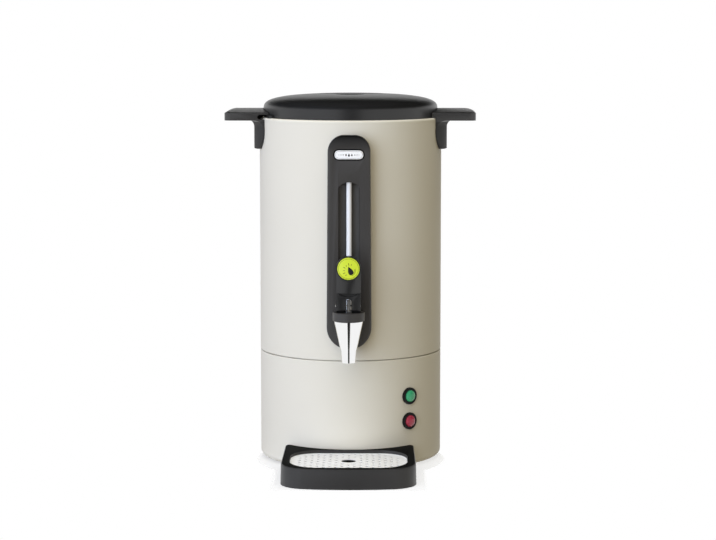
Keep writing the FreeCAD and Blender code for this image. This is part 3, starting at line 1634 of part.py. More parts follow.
def tray_outline(inset, z):
    # Concave back along the urn's wall, straight flanks, bowed front.
    back_r = body_r + tray_back_gap
    back_x = tray_back_half_w - inset
    back_y = -math.sqrt(back_r ** 2 - back_x ** 2)
    slope = (tray_half_w - tray_back_half_w) / (tray_wide_y + back_y)
    front_centre = -tray_front + inset + tray_front_r
    corner_x = back_x
    corner_y = back_y
    for _ in range(30):
        corner_y = front_centre - math.sqrt(tray_front_r ** 2 - corner_x ** 2)
        corner_x = back_x + slope * (back_y - corner_y)
    edges = [
        Part.Arc(vec(-back_x, back_y, z), vec(0, -back_r, z), vec(back_x, back_y, z)).toShape(),
        Part.LineSegment(vec(back_x, back_y, z), vec(corner_x, corner_y, z)).toShape(),
        Part.Arc(vec(corner_x, corner_y, z), vec(0, -tray_front + inset, z),
                 vec(-corner_x, corner_y, z)).toShape(),
        Part.LineSegment(vec(-corner_x, corner_y, z), vec(-back_x, back_y, z)).toShape(),
    ]
    return Part.Wire(edges)


def tray_block(inset, high):
    # The whole draft belongs to the height of the tray's back.
    draft = tray_draft * high / tray_top_back_z
    solid = Part.makeLoft([tray_outline(inset, 0), tray_outline(inset + draft, high)], True, True)
    front = edges_where(solid, lambda edge: edge.BoundBox.ZLength > high * 0.9
                        and edge.CenterOfMass.y < -tray_wide_y)
    solid = solid.makeFillet(tray_corner_r - inset, front)
    back = edges_where(solid, lambda edge: edge.BoundBox.ZLength > high * 0.9
                       and edge.CenterOfMass.y > -body_r)
    return solid.makeFillet(max(tray_back_corner_r - inset, 0.5), back)


def drip_plate_prism(inset, low, high):
    outline = rounded_rectangle(plate_half_w - inset, plate_half_d - inset, plate_corner_r - inset,
                                0, -plate_centre)
    return plan_prism(outline, low, high)


def tray_top_cut(lower):
    # Everything above the sloping rim, or above a surface that lies lower than it.
    beyond = 30
    slope = (tray_top_back_z - tray_top_front_z) / (tray_front - body_r)
    front = (-tray_front - beyond, tray_top_front_z - slope * beyond - lower)
    back = (-body_r + beyond, tray_top_back_z + slope * beyond - lower)
    high = tray_top_back_z * 2
    return side_prism([front, back, (back[0], high), (front[0], high)], -tray_half_w * 2, tray_half_w * 2)


def make_drip_tray():
    high = tray_top_back_z + 4
    outside = tray_block(0, high).cut(tray_top_cut(0))
    rim = edges_where(outside, lambda edge: edge.BoundBox.ZMin > tray_top_front_z - 1)
    outside = outside.makeFillet(tray_edge_r, rim)
    ledge_z = drip_plate_z - drip_plate_t - moving_gap
    hollow = tray_block(tray_wall, high).cut(tray_top_cut(tray_wall))
    hollow = hollow.cut(drip_plate_prism(plate_ledge - tray_wall, basin_floor_z - basin_floor_t, high))
    hollow = hollow.cut(drip_plate_prism(-moving_gap - tray_wall, ledge_z - tray_wall, high))
    tray = outside.cut(hollow)
    tray = tray.cut(drip_plate_prism(plate_ledge, basin_floor_z, high))
    return tray.cut(drip_plate_prism(-moving_gap, ledge_z, high))


def drain_places():
    # Staggered rows, kept inside the plate's outline and clear of the centre hole.
    places = []
    half_d = plate_half_d - drain_margin - drain_r
    half_w = plate_half_w - drain_margin - drain_r
    corner = plate_corner_r - drain_margin - drain_r
    rows = int(half_d / drain_pitch_y + 0.5)
    columns = int(half_w / drain_pitch_x)
    for row in range(-rows, rows):
        y = (row + 0.5) * drain_pitch_y
        for column in range(-columns, columns + 1):
            x = column * drain_pitch_x
            if (row + column) % 2:
                continue
            if abs(y) > half_d or math.hypot(x, y) < centre_hole_r + 2 * drain_r:
                continue
            dx = abs(x) - (half_w - corner)
            dy = abs(y) - (half_d - corner)
            if dx > 0 and dy > 0 and math.hypot(dx, dy) > corner:
                continue
            places.append((x, y - plate_centre))
    return places


def make_drip_plate():
    low = drip_plate_z - drip_plate_t
    plate = drip_plate_prism(0, low, drip_plate_z)
    holes = [upright(drain_r, low - 1, drip_plate_z + 1, x, y) for x, y in drain_places()]
    holes.append(upright(centre_hole_r, low - 1, drip_plate_z + 1, 0, -plate_centre))
    return plate.cut(Part.makeCompound(holes))


def save(name, shape):
    piece = shape.copy()
    piece.translate(vec(0, shift_y, 0))
    piece.exportStep("parts/" + name + ".step")


def build():
    handle = make_handle()
    both_lamps = (green_z, red_z)
    pieces = {
        "tank": make_tank(),
        "base_housing": make_base_housing(),
        "bottom_plate": make_bottom_plate(),
        "rubber_feet": make_rubber_feet(),
        "tie_rods": make_tie_rods(),
        "tie_screws": make_tie_screws(),
        "handle_right": handle,
        "handle_left": turned(handle, 180),
        "handle_screws": grouped([wall_screw(angle, fixing_z, washer_face_r, fixing_len)
                                  for angle in fixing_angles()]),
        "panel_screws": grouped([wall_screw(0, z, washer_face_r, length)
                                 for z, length in panel_fixings()]),
        "screw_seals": grouped([curved_washer(angle, fixing_z, washer_r, m4_r + thread_gap, washer_t)
                                for angle in fixing_angles()]
                               + [curved_washer(0, z, washer_r, m4_r + thread_gap, washer_t)
                                  for z in (high_boss_z, low_boss_z)]),
        "lid_shell": make_lid_shell(),
        "lid_liner": make_lid_liner(),
        "lid_gasket": make_lid_gasket(),
        "lid_screws": make_lid_screws(),
        "tap_panel": make_tap_panel(),
        "badge_plate": make_badge_plate(),
        "tap_body": make_tap_body(),
        "shank_seals": make_shank_seals(),
        "shank_nut": make_shank_nut(),
        "tap_bonnet": make_tap_bonnet(),
        "bonnet_nut": make_bonnet_nut(),
        "tap_stem": make_tap_stem(),
        "seat_cup": make_seat_cup(),
        "tap_spring": make_tap_spring(),
        "tap_lever": make_tap_lever(),
        "lever_disc": make_lever_disc(),
        "lever_pin": make_lever_pin(),
        "gauge_tube": make_gauge_tube(),
        "gauge_bottom_seal": make_gauge_bottom_seal(),
        "gauge_top_seal": make_gauge_top_seal(),
        "heater_plate": make_heater_plate(),
        "heating_element": make_heating_element(),
        "boil_thermostat": thermostat(0, -thermostat_offset),
        "keep_warm_thermostat": thermostat(thermostat_offset, 0),
        "overheat_cutout": make_cutout(),
        "reset_button": make_reset_button(),
        "cutout_capillary": make_capillary(),
        "terminal_block": make_terminal_block(),
        "thermal_fuse": make_thermal_fuse(),
        "internal_wires": make_internal_wires(),
        "lamp_housings": make_lamp(lamp_housing, both_lamps),
        "lamp_nuts": make_lamp(lamp_nut, both_lamps),
        "neon_bulbs": make_lamp(neon_bulb, both_lamps),
        "green_lens": make_lamp(lamp_lens, (green_z,)),
        "red_lens": make_lamp(lamp_lens, (red_z,)),
        "rear_panel": make_rear_panel(),
        "rear_panel_screws": make_rear_screws(),
        "inlet_socket": make_inlet_socket(),
        "inlet_pins": make_inlet_pins(),
        "switch_frame": make_switch_frame(),
        "switch_rocker": make_switch_rocker(),
        "pump_tube": make_pump_tube(),
        "filter_basket": make_filter_basket(),
        "basket_cover": make_basket_cover(),
        "drip_tray": make_drip_tray(),
        "drip_plate": make_drip_plate(),
    }
    os.makedirs("parts", exist_ok=True)
    for name, shape in pieces.items():
        save(name, shape)
        solids = len(shape.Solids)
        print(f"{name}: {solids} solid(s), {shape.Volume / 1000:.2f} cm3, valid {shape.isValid()}")


build()
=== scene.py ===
import json
import math

import bmesh
import bpy
from mathutils import Matrix, Vector
from mathutils.bvhtree import BVHTree

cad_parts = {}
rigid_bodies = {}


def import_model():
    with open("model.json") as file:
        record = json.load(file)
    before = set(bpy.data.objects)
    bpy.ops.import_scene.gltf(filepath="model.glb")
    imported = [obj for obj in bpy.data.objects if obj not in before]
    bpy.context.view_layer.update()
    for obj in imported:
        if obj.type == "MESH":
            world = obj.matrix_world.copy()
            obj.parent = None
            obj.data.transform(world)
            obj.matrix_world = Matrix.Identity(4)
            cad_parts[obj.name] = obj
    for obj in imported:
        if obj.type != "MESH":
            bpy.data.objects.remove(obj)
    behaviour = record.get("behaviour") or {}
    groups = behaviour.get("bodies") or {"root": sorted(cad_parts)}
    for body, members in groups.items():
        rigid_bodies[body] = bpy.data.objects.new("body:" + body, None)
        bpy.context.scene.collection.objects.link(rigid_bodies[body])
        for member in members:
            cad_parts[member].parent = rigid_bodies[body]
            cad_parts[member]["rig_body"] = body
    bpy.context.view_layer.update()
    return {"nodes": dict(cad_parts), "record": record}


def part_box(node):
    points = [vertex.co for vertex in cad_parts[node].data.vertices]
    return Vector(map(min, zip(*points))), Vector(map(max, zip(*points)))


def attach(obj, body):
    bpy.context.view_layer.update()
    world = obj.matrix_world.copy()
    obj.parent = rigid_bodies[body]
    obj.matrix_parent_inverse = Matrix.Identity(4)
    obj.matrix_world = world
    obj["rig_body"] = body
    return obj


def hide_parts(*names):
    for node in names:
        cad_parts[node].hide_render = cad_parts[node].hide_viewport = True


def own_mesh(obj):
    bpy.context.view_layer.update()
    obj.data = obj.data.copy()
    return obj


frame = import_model()
nodes = frame["nodes"]
scene = bpy.context.scene
mm = 0.001
tankLow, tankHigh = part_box("tank")
axis = Vector(((tankLow.x + tankHigh.x) / 2, (tankLow.y + tankHigh.y) / 2, 0))
bodyRadius = (tankHigh.x - tankLow.x) / 2
nutLow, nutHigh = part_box("bonnet_nut")
tapAxis = Vector(((nutLow.x + nutHigh.x) / 2, (nutLow.y + nutHigh.y) / 2, 0))


# Materials

def socketOf(shader, *names):
    for name in names:
        if name in shader.inputs:
            return shader.inputs[name]


def newMaterial(name):
    material = bpy.data.materials.new(name)
    material.use_nodes = True
    return material, material.node_tree, material.node_tree.nodes["Principled BSDF"]


def addNode(tree, kind, **values):
    node = tree.nodes.new(kind)
    for key, value in values.items():
        setattr(node, key, value)
    return node


def noiseOn(tree, scale, stretch=(1, 1, 1), detail=3):
    place = addNode(tree, "ShaderNodeTexCoord")
    mapping = addNode(tree, "ShaderNodeMapping")
    mapping.inputs["Scale"].default_value = stretch
    noise = addNode(tree, "ShaderNodeTexNoise")
    noise.inputs["Scale"].default_value = scale
    noise.inputs["Detail"].default_value = detail
    tree.links.new(place.outputs["Object"], mapping.inputs["Vector"])
    tree.links.new(mapping.outputs["Vector"], noise.inputs["Vector"])
    return noise


def mapped(tree, source, low, high):
    node = addNode(tree, "ShaderNodeMapRange")
    node.inputs["From Min"].default_value = 0.25
    node.inputs["From Max"].default_value = 0.75
    node.inputs["To Min"].default_value = low
    node.inputs["To Max"].default_value = high
    tree.links.new(source, node.inputs["Value"])
    return node.outputs["Result"]


def surface(name, colour, rough, metallic=0.0, change=0.04, patch=18, roughChange=0.03, grain=900, depth=0.02,
            stretch=(1, 1, 1), coat=0.0, coatRough=0.1, specular=0.5):
    material, tree, shader = newMaterial(name)
    shader.inputs["Metallic"].default_value = metallic
    socketOf(shader, "Specular IOR Level").default_value = specular
    socketOf(shader, "Coat Weight").default_value = coat
    socketOf(shader, "Coat Roughness").default_value = coatRough
    broad = noiseOn(tree, patch, stretch)
    mix = addNode(tree, "ShaderNodeMix", data_type="RGBA")
    mix.inputs[6].default_value = (*[c * (1 - change) for c in colour], 1)
    mix.inputs[7].default_value = (*[min(1, c * (1 + change)) for c in colour], 1)
    tree.links.new(mapped(tree, broad.outputs["Fac"], 0, 1), mix.inputs[0])
    tree.links.new(mix.outputs[2], shader.inputs["Base Color"])
    fine = noiseOn(tree, grain, stretch, 2)
    tree.links.new(mapped(tree, fine.outputs["Fac"], rough - roughChange, rough + roughChange),
                   shader.inputs["Roughness"])
    bump = addNode(tree, "ShaderNodeBump")
    bump.inputs["Strength"].default_value = depth
    bump.inputs["Distance"].default_value = 0.05 * mm
    tree.links.new(fine.outputs["Fac"], bump.inputs["Height"])
    tree.links.new(bump.outputs["Normal"], shader.inputs["Normal"])
    return material


def clear(name, colour, rough, ior, transmission=1.0, glow=0.0):
    material = surface(name, colour, rough, change=0.02, roughChange=0.01, grain=300, depth=0.02)
    shader = material.node_tree.nodes["Principled BSDF"]
    shader.inputs["IOR"].default_value = ior
    socketOf(shader, "Transmission Weight").default_value = transmission
    if glow:
        socketOf(shader, "Emission Color").default_value = (*colour, 1)
        socketOf(shader, "Emission Strength").default_value = glow
    return material


def dulled(tree, source, span, extra, paintedLightGrey=None):
    # The surface gets rougher where the source runs through the span. If a grey is given, its colour also turns to that
    # grey there: painted light where the grey is lighter, painted shade where it is darker.
    shader = tree.nodes["Principled BSDF"]
    added = addNode(tree, "ShaderNodeMapRange")
    for label, value in zip(("From Min", "From Max"), span):
        added.inputs[label].default_value = value
    tree.links.new(source, added.inputs["Value"])
    total = addNode(tree, "ShaderNodeMath", operation="MULTIPLY_ADD")
    total.inputs[1].default_value = extra
    tree.links.new(added.outputs["Result"], total.inputs[0])
    tree.links.new(shader.inputs["Roughness"].links[0].from_socket, total.inputs[2])
    tree.links.new(total.outputs[0], shader.inputs["Roughness"])
    if paintedLightGrey:
        mix = addNode(tree, "ShaderNodeMix", data_type="RGBA")
        mix.inputs[7].default_value = (paintedLightGrey, paintedLightGrey, paintedLightGrey, 1)
        tree.links.new(added.outputs["Result"], mix.inputs[0])
        tree.links.new(shader.inputs["Base Color"].links[0].from_socket, mix.inputs[6])
        tree.links.new(mix.outputs[2], shader.inputs["Base Color"])


looks = {
    "body_paint": surface("bodyPaint", (0.70, 0.665, 0.565), 0.50, change=0.012, patch=9, grain=1400, depth=0.10,
                          specular=0.3),
    "base_paint": surface("basePaint", (0.70, 0.665, 0.565), 0.50, change=0.012, patch=9, grain=1400, depth=0.10,
                          specular=0.3),
    "black_plastic": surface("blackPlastic", (0.011, 0.011, 0.011), 0.33, change=0.12, grain=2600, depth=0.20,
                             specular=0.6),
    "panelBlack": surface("panelBlack", (0.041, 0.0385, 0.036), 0.46, change=0.10, grain=2600, depth=0.20,
                          specular=0.4),
    "handleBlack": surface("handleBlack", (0.019, 0.018, 0.017), 0.36, change=0.10, grain=2600, depth=0.20,
                           specular=0.8),
    "bezelBlack": surface("bezelBlack", (0.003, 0.003, 0.003), 0.40, change=0.10, grain=1800, depth=0.10,
                          specular=0.2),
    # painted shade: a near-black sheet behind plates that shows as the dark gap around them
    "shadeSheetBlack": surface("shadeSheetBlack", (0.002, 0.002, 0.002), 0.9, specular=0.05),
    "stemSatin": surface("stemSatin", (0.42, 0.42, 0.41), 0.55, 0.3, change=0.02, grain=90, depth=0.03),
    "lever_black": surface("leverBlack", (0.009, 0.009, 0.009), 0.33, change=0.10, grain=2400, depth=0.18,
                           specular=0.6),
    "tray_black": surface("trayBlack", (0.031, 0.030, 0.029), 0.40, change=0.12, grain=2600, depth=0.22,
                          specular=0.35),
    "spout_chrome": surface("spoutChrome", (0.90, 0.90, 0.90), 0.07, 1.0, change=0.01, roughChange=0.01, depth=0.01),
    "bright_steel": surface("brightSteel", (0.62, 0.62, 0.61), 0.26, 1.0, grain=60, depth=0.06,
                            stretch=(1, 1, 24)),
    "tankSteel": surface("tankSteel", (0.66, 0.66, 0.65), 0.36, 0.5, change=0.02, grain=60, depth=0.05,
                         stretch=(1, 1, 24)),
    "perforated_steel": surface("perforatedSteel", (0.93, 0.93, 0.92), 0.45, 0.1, change=0.02, grain=90,
                                depth=0.05, stretch=(1, 14, 1)),
    "zinc_steel": surface("zincSteel", (0.55, 0.56, 0.57), 0.42, 1.0, change=0.08, patch=120),
    "silicone": surface("siliconeSeal", (0.72, 0.71, 0.68), 0.6, grain=700, depth=0.1),
    "black_rubber": surface("blackRubber", (0.016, 0.016, 0.016), 0.75, grain=1200, depth=0.3),
    "gauge_glass": surface("gaugeGlass", (0.86, 0.86, 0.86), 0.08, change=0.01, roughChange=0.02, depth=0.01,
                           coat=0.6, coatRough=0.05),
    "white_plate": surface("whitePlate", (0.93, 0.93, 0.92), 0.30, change=0.01, depth=0.03, coat=0.3),
    "lime_disc": surface("limeDisc", (0.64, 0.76, 0.03), 0.3, change=0.03, depth=0.03, coat=0.3),
    "green_lens": clear("greenLens", (0.06, 0.42, 0.20), 0.16, 1.49, 0.45, 0.12),
    "red_lens": clear("redLens", (0.42, 0.042, 0.075), 0.16, 1.49, 0.45, 0.12),
    "alloy": surface("castAlloy", (0.60, 0.60, 0.60), 0.5, 1.0, change=0.06, patch=60, grain=500, depth=0.2),
    "brass_parts": surface("brassParts", (0.65, 0.47, 0.20), 0.35, 1.0),
    "switchgear": surface("switchgear", (0.008, 0.008, 0.008), 0.22, change=0.1, grain=1800, depth=0.15),
    "cream_ceramic": surface("creamCeramic", (0.72, 0.66, 0.52), 0.55, grain=500, depth=0.15),
    "wire_red": surface("wireRed", (0.42, 0.03, 0.03), 0.45),
    "copper_tube": surface("copperTube", (0.70, 0.33, 0.19), 0.35, 1.0),
    "neon_glass": clear("neonGlass", (0.92, 0.88, 0.84), 0.08, 1.47, 0.8),
}
print("materials", len(looks))


def paint(thing, slot):
    if not thing.data.materials:
        thing.data.materials.append(looks[slot])
    for index in range(len(thing.data.materials)):
        thing.data.materials[index] = looks[slot]


ownLook = {"tap_stem": "stemSatin"}
for part in frame["record"]["subparts"]:
    paint(nodes[part["node"]], ownLook.get(part["node"], part["material_slot"]))


# Shapes

def linked(name, mesh):
    thing = bpy.data.objects.new(name, mesh)
    scene.collection.objects.link(thing)
    return thing


def meshFrom(name, vertices, faces=()):
    mesh = bpy.data.meshes.new(name)
    mesh.from_pydata([tuple(v) for v in vertices], [], list(faces))
    return mesh


def meshOf(work, name):
    mesh = bpy.data.meshes.new(name)
    work.to_mesh(mesh)
    work.free()
    return mesh


def settled(thing):
    # The modifiers' result becomes the object's own plain mesh.
    bpy.context.view_layer.update()
    graph = bpy.context.evaluated_depsgraph_get()
    mesh = bpy.data.meshes.new_from_object(thing.evaluated_get(graph), depsgraph=graph)
    thing.modifiers.clear()
    old = thing.data
    thing.data = mesh
    bpy.data.meshes.remove(old)
    return thing


def cleaned(thing, sharp=35, merge=1e-6):
    work = bmesh.new()
    work.from_mesh(thing.data)
    bmesh.ops.remove_doubles(work, verts=work.verts, dist=merge)
    bmesh.ops.dissolve_degenerate(work, edges=work.edges, dist=merge)
    bmesh.ops.recalc_face_normals(work, faces=work.faces)
    for face in work.faces:
        face.smooth = True
    work.to_mesh(thing.data)
    work.free()
    thing.data.set_sharp_from_angle(angle=math.radians(sharp))
    return thing


def placed(thing, body, slot, *replaced, look=None):
    paint(thing, look or slot)
    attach(thing, body)
    if replaced:
        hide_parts(*replaced)
    return thing


def section(corners, closed=False, steps=5):
    # Corners are (radius, height) or (radius, height, rounding).
    # Rounded ones get an arc with a holding point at each side.
    out = []
    count = len(corners)
    for index, corner in enumerate(corners):
        here = Vector(corner[:2])
        radius = corner[2] if len(corner) > 2 else 0
        ends = not closed and index in (0, count - 1)
        if not radius or ends:
            out.append(here)
            continue
        back = Vector(corners[index - 1][:2]) - here
        onward = Vector(corners[(index + 1) % count][:2]) - here
        half = back.angle(onward) / 2
        run = min(radius / math.tan(half), back.length * 0.49, onward.length * 0.49)
        radius = run * math.tan(half)
        back.normalize()
        onward.normalize()
        middle = here + (back + onward).normalized() * (radius / math.sin(half))
        first = here + back * run
        last = here + onward * run
        out.append(first + back * run * 0.02)
        sweep = math.pi - 2 * half
        spin = 1 if back.x * onward.y - back.y * onward.x < 0 else -1
        for step in range(steps + 1):
            turn = spin * sweep * step / steps
            out.append(middle + Matrix.Rotation(turn, 2) @ (first - middle))
        out.append(last + onward * run * 0.02)
    return out


def wired(tree, kind, inputs=(), **values):
    node = addNode(tree, kind, **values)
    for key, value in dict(inputs).items():
        if isinstance(value, bpy.types.NodeSocket):
            tree.links.new(value, node.inputs[key])
        else:
            node.inputs[key].default_value = value
    return node


def calc(tree, operation, first, second=0.0):
    return wired(tree, "ShaderNodeMath", {0: first, 1: second}, operation=operation).outputs[0]


def startTree(name, inputs):
    tree = bpy.data.node_groups.new(name, "GeometryNodeTree")
    face = tree.interface
    face.new_socket("Geometry", in_out="INPUT", socket_type="NodeSocketGeometry")
    for label, kind in inputs:
        face.new_socket(label, in_out="INPUT", socket_type="NodeSocket" + kind)
    face.new_socket("Material", in_out="INPUT", socket_type="NodeSocketMaterial")
    face.new_socket("Geometry", in_out="OUTPUT", socket_type="NodeSocketGeometry")
    return tree, addNode(tree, "NodeGroupInput")


def endTree(tree, start, geometry):
    real = wired(tree, "GeometryNodeRealizeInstances", {"Geometry": geometry})
    done = wired(tree, "GeometryNodeSetMaterial", {"Geometry": real.outputs[0],
                                                   "Material": start.outputs["Material"]})
    end = addNode(tree, "NodeGroupOutput")
    tree.links.new(done.outputs[0], end.inputs[0])
    return tree


def grown(name, mesh, tree, slot, values):
    thing = linked(name, mesh)
    modifier = thing.modifiers.new("Shape", "NODES")
    modifier.node_group = tree
    sockets = {item.name: item.identifier for item in tree.interface.items_tree
               if item.item_type == "SOCKET" and item.in_out == "INPUT"}
    for label, value in values.items():
        modifier[sockets[label]] = value
    modifier[sockets["Material"]] = looks[slot]
    return settled(thing)


def turnedTree():
    # Each column of a grid takes the places of the section's points, turned about the upright axis.
    tree, start = startTree("turnedSection", [("Segments", "Int")])
    size = wired(tree, "GeometryNodeAttributeDomainSize", {"Geometry": start.outputs["Geometry"]}, component="MESH")
    count = size.outputs["Point Count"]
    segments = start.outputs["Segments"]
    grid = wired(tree, "GeometryNodeMeshGrid", {"Vertices X": calc(tree, "ADD", segments, 1.0), "Vertices Y": count})
    index = addNode(tree, "GeometryNodeInputIndex").outputs[0]
    column = calc(tree, "FLOOR", calc(tree, "DIVIDE", calc(tree, "ADD", index, 0.5), count))
    row = calc(tree, "ROUND", calc(tree, "SUBTRACT", index, calc(tree, "MULTIPLY", column, count)))
    place = addNode(tree, "GeometryNodeInputPosition")
    sample = wired(tree, "GeometryNodeSampleIndex", {"Geometry": start.outputs["Geometry"],
                                                     "Value": place.outputs[0], "Index": row},
                   data_type="FLOAT_VECTOR")
    angle = calc(tree, "MULTIPLY", calc(tree, "DIVIDE", column, segments), 2 * math.pi)
    spin = wired(tree, "ShaderNodeVectorRotate", {"Vector": sample.outputs[0], "Angle": angle},
                 rotation_type="Z_AXIS")
    moved = wired(tree, "GeometryNodeSetPosition", {"Geometry": grid.outputs["Mesh"],
                                                    "Position": spin.outputs[0]})
    joined = wired(tree, "GeometryNodeMergeByDistance", {"Geometry": moved.outputs[0], "Distance": 1e-7})
    return endTree(tree, start, joined.outputs[0])


turning = turnedTree()


def turned(name, corners, slot, centre=(0, 0, 0), segments=160, closed=False, steps=5, sharp=35):
    points = section(corners, closed, steps)
    if closed:
        points.append(points[0])
    mesh = meshFrom(name, [(p.x, 0, p.y) for p in points])
    thing = grown(name, mesh, turning, slot, {"Segments": segments})
    thing.data.transform(Matrix.Translation(Vector(centre)))
    return cleaned(thing, sharp)


def aimed(thing, centre, direction):
    # Turns a piece that was built along +Z so that it points along direction, at centre.
    turn = Vector((0, 0, 1)).rotation_difference(Vector(direction)).to_matrix().to_4x4()
    thing.data.transform(Matrix.Translation(Vector(centre)) @ turn)
    return thing


def blockOf(size, middle=(0, 0, 0)):
    work = bmesh.new()
    bmesh.ops.create_cube(work, size=1)
    bmesh.ops.scale(work, vec=size, verts=work.verts)
    bmesh.ops.translate(work, vec=middle, verts=work.verts)
    return work


def joinedTo(thing, *others):
    work = bmesh.new()
    work.from_mesh(thing.data)
    for other in others:
        work.from_mesh(other.data)
    work.to_mesh(thing.data)
    work.free()
    for other in others:
        mesh = other.data
        bpy.data.objects.remove(other)
        bpy.data.meshes.remove(mesh)
    return thing


def refinedCopy(node, slot, width=0.4, angle=30, flat=1.2, segments=2, look=None):
    # The CAD piece again, with its sharp edges broken as a moulding's are.
    work = bmesh.new()
    work.from_mesh(nodes[node].data)
    bmesh.ops.remove_doubles(work, verts=work.verts, dist=2e-6)
    bmesh.ops.dissolve_degenerate(work, edges=work.edges, dist=2e-6)
    bmesh.ops.dissolve_limit(work, angle_limit=math.radians(flat), verts=work.verts, edges=work.edges)
    bmesh.ops.recalc_face_normals(work, faces=work.faces)
    mesh = meshOf(work, node)
    for polygon in mesh.polygons:
        polygon.use_smooth = True
    thing = linked(node + ".refined", mesh)
    bevel = thing.modifiers.new("Edges", "BEVEL")
    bevel.width = width * mm
    bevel.segments = segments
    bevel.limit_method = "ANGLE"
    bevel.angle_limit = math.radians(angle)
    bevel.harden_normals = True
    settled(thing)
    body = nodes[node]["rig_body"]
    return placed(thing, body, slot, node, look=look)


# Tank and base

wall = {"rimBend": 2.5 * mm, "lip": 6 * mm, "sheet": 1 * mm, "seamRoll": 2.4 * mm, "floor": 13.7 * mm,
        "lining": 0.05 * mm, "floorBend": 1.5 * mm, "upstand": 4 * mm}
tankInner = bodyRadius - wall["sheet"]
liningRadius = tankInner - wall["lining"]
floorZ = tankLow.z + wall["floor"]
tank = turned("tankShell", [
    (tankInner, tankLow.z),
    (bodyRadius, tankLow.z, wall["seamRoll"]),
    (bodyRadius, tankHigh.z, wall["rimBend"]),
    (bodyRadius - wall["lip"], tankHigh.z),
    (bodyRadius - wall["lip"], tankHigh.z - wall["sheet"]),
    (tankInner, tankHigh.z - wall["sheet"], wall["rimBend"] / 2),
    (tankInner, tankLow.z),
], "body_paint", axis, 224)
inside = turned("tankInside", [
    (liningRadius, floorZ),
    (liningRadius, tankHigh.z - wall["rimBend"]),
], "bright_steel", axis, 224)
floorPlate = turned("tankFloor", [
    (0, floorZ),
    (liningRadius, floorZ, wall["floorBend"]),
    (liningRadius, floorZ + wall["upstand"]),
], "bright_steel", axis, 128)
placed(tank, "urn", "body_paint", "tank")
placed(joinedTo(inside, floorPlate), "urn", "bright_steel", look="tankSteel")

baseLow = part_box("base_housing")[0]
footing = {"corner": 8 * mm, "recess": 12 * mm, "rise": 1.7 * mm, "ledge": 7 * mm, "sheet": 1 * mm, "ring": 5.4 * mm,
           "ringIn": 3.2 * mm, "seamRoll": 1.4 * mm, "gap": 0.95 * mm}
sheet = footing["sheet"]
baseTop = tankLow.z - footing["gap"]
ledgeZ = baseLow.z + footing["rise"]
recess = bodyRadius - footing["recess"]
ringRadius = bodyRadius - footing["ringIn"]       # the ring that the tank sits over
base = turned("baseShell", [
    (ringRadius - sheet, baseTop + footing["ring"]),
    (ringRadius, baseTop + footing["ring"]),
    (ringRadius, baseTop),
    (bodyRadius, baseTop, footing["seamRoll"]),
    (bodyRadius, baseLow.z, footing["corner"]),
    (recess, baseLow.z, 0.3 * mm),
    (recess, ledgeZ),
    (recess - footing["ledge"], ledgeZ),
    (recess - footing["ledge"], ledgeZ + sheet),
    (recess + sheet, ledgeZ + sheet),
    (bodyRadius - sheet, ledgeZ + 6 * sheet),
    (bodyRadius - sheet, baseTop - 4 * sheet),
    (ringRadius - sheet, baseTop - 3 * sheet),
    (ringRadius - sheet, baseTop + footing["ring"]),
], "base_paint", axis, 224)
openings = {"lampAngle": 40, "lamp": 8.9 * mm, "rearReach": 20 * mm, "rearOut": 5 * mm}
lampTurn = math.radians(openings["lampAngle"])
lampWay = Vector((math.sin(lampTurn), -math.cos(lampTurn), 0))


def cutOut(thing, work, name):
    bmesh.ops.recalc_face_normals(work, faces=work.faces)
    cutter = linked(name, meshOf(work, name))
    cut = thing.modifiers.new(name, "BOOLEAN")
    cut.object = cutter
    cut.solver = "EXACT"
    settled(thing)
    bpy.data.objects.remove(cutter)
    return thing


socketLow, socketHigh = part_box("inlet_socket")
frameLow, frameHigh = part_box("switch_frame")
backY = axis.y + bodyRadius
rearLow = Vector((min(socketLow.x, frameLow.x) - mm, backY - openings["rearReach"], socketLow.z - mm))
rearHigh = Vector((max(socketHigh.x, frameHigh.x) + mm, backY + openings["rearOut"], socketHigh.z + mm))
cutOut(base, blockOf(rearHigh - rearLow, (rearLow + rearHigh) / 2), "rearOpening")
work = bmesh.new()
for lens in ("green_lens", "red_lens"):
    low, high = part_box(lens)
    turn = Vector((0, 0, 1)).rotation_difference(lampWay).to_matrix().to_4x4()
    middle = axis + lampWay * bodyRadius + Vector((0, 0, (low.z + high.z) / 2))
    bmesh.ops.create_cone(work, cap_ends=True, segments=48, radius1=openings["lamp"], radius2=openings["lamp"],
                          depth=openings["rearReach"], matrix=Matrix.Translation(middle) @ turn)
cutOut(base, work, "lampHoles")
cleaned(base, 35)
placed(base, "urn", "base_paint", "base_housing")
print("tank and base")


# Lid

lidLow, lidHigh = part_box("lid_shell")
lidFacts = {"radius": bodyRadius - 4.9 * mm, "skirt": 10.0 * mm, "power": 3.0, "bar": 10 * mm, "depth": 14 * mm,
            "finger": (40.5 * mm, 32 * mm), "thumb": (18 * mm, 20 * mm), "under": 2.0 * mm,
            "round": (0.12 * mm, 1.0 * mm), "floorRound": 2.4 * mm}
skirtZ = tankHigh.z + lidFacts["skirt"]


def domeHeight(radius):
    share = min(1, radius / lidFacts["radius"]) ** lidFacts["power"]
    return skirtZ + (lidHigh.z - skirtZ) * (1 - share) ** (1 / lidFacts["power"])


def lidSection():
    points = [(0, lidLow.z), (lidFacts["radius"], lidLow.z, 0.5 * mm), (lidFacts["radius"], skirtZ)]
    steps = 44
    for step in range(1, steps + 1):
        turn = math.pi / 2 * step / steps
        radius = lidFacts["radius"] * math.cos(turn) ** (2 / lidFacts["power"])
        points.append((radius if step < steps else 0, domeHeight(radius) if step < steps else lidHigh.z))
    return points


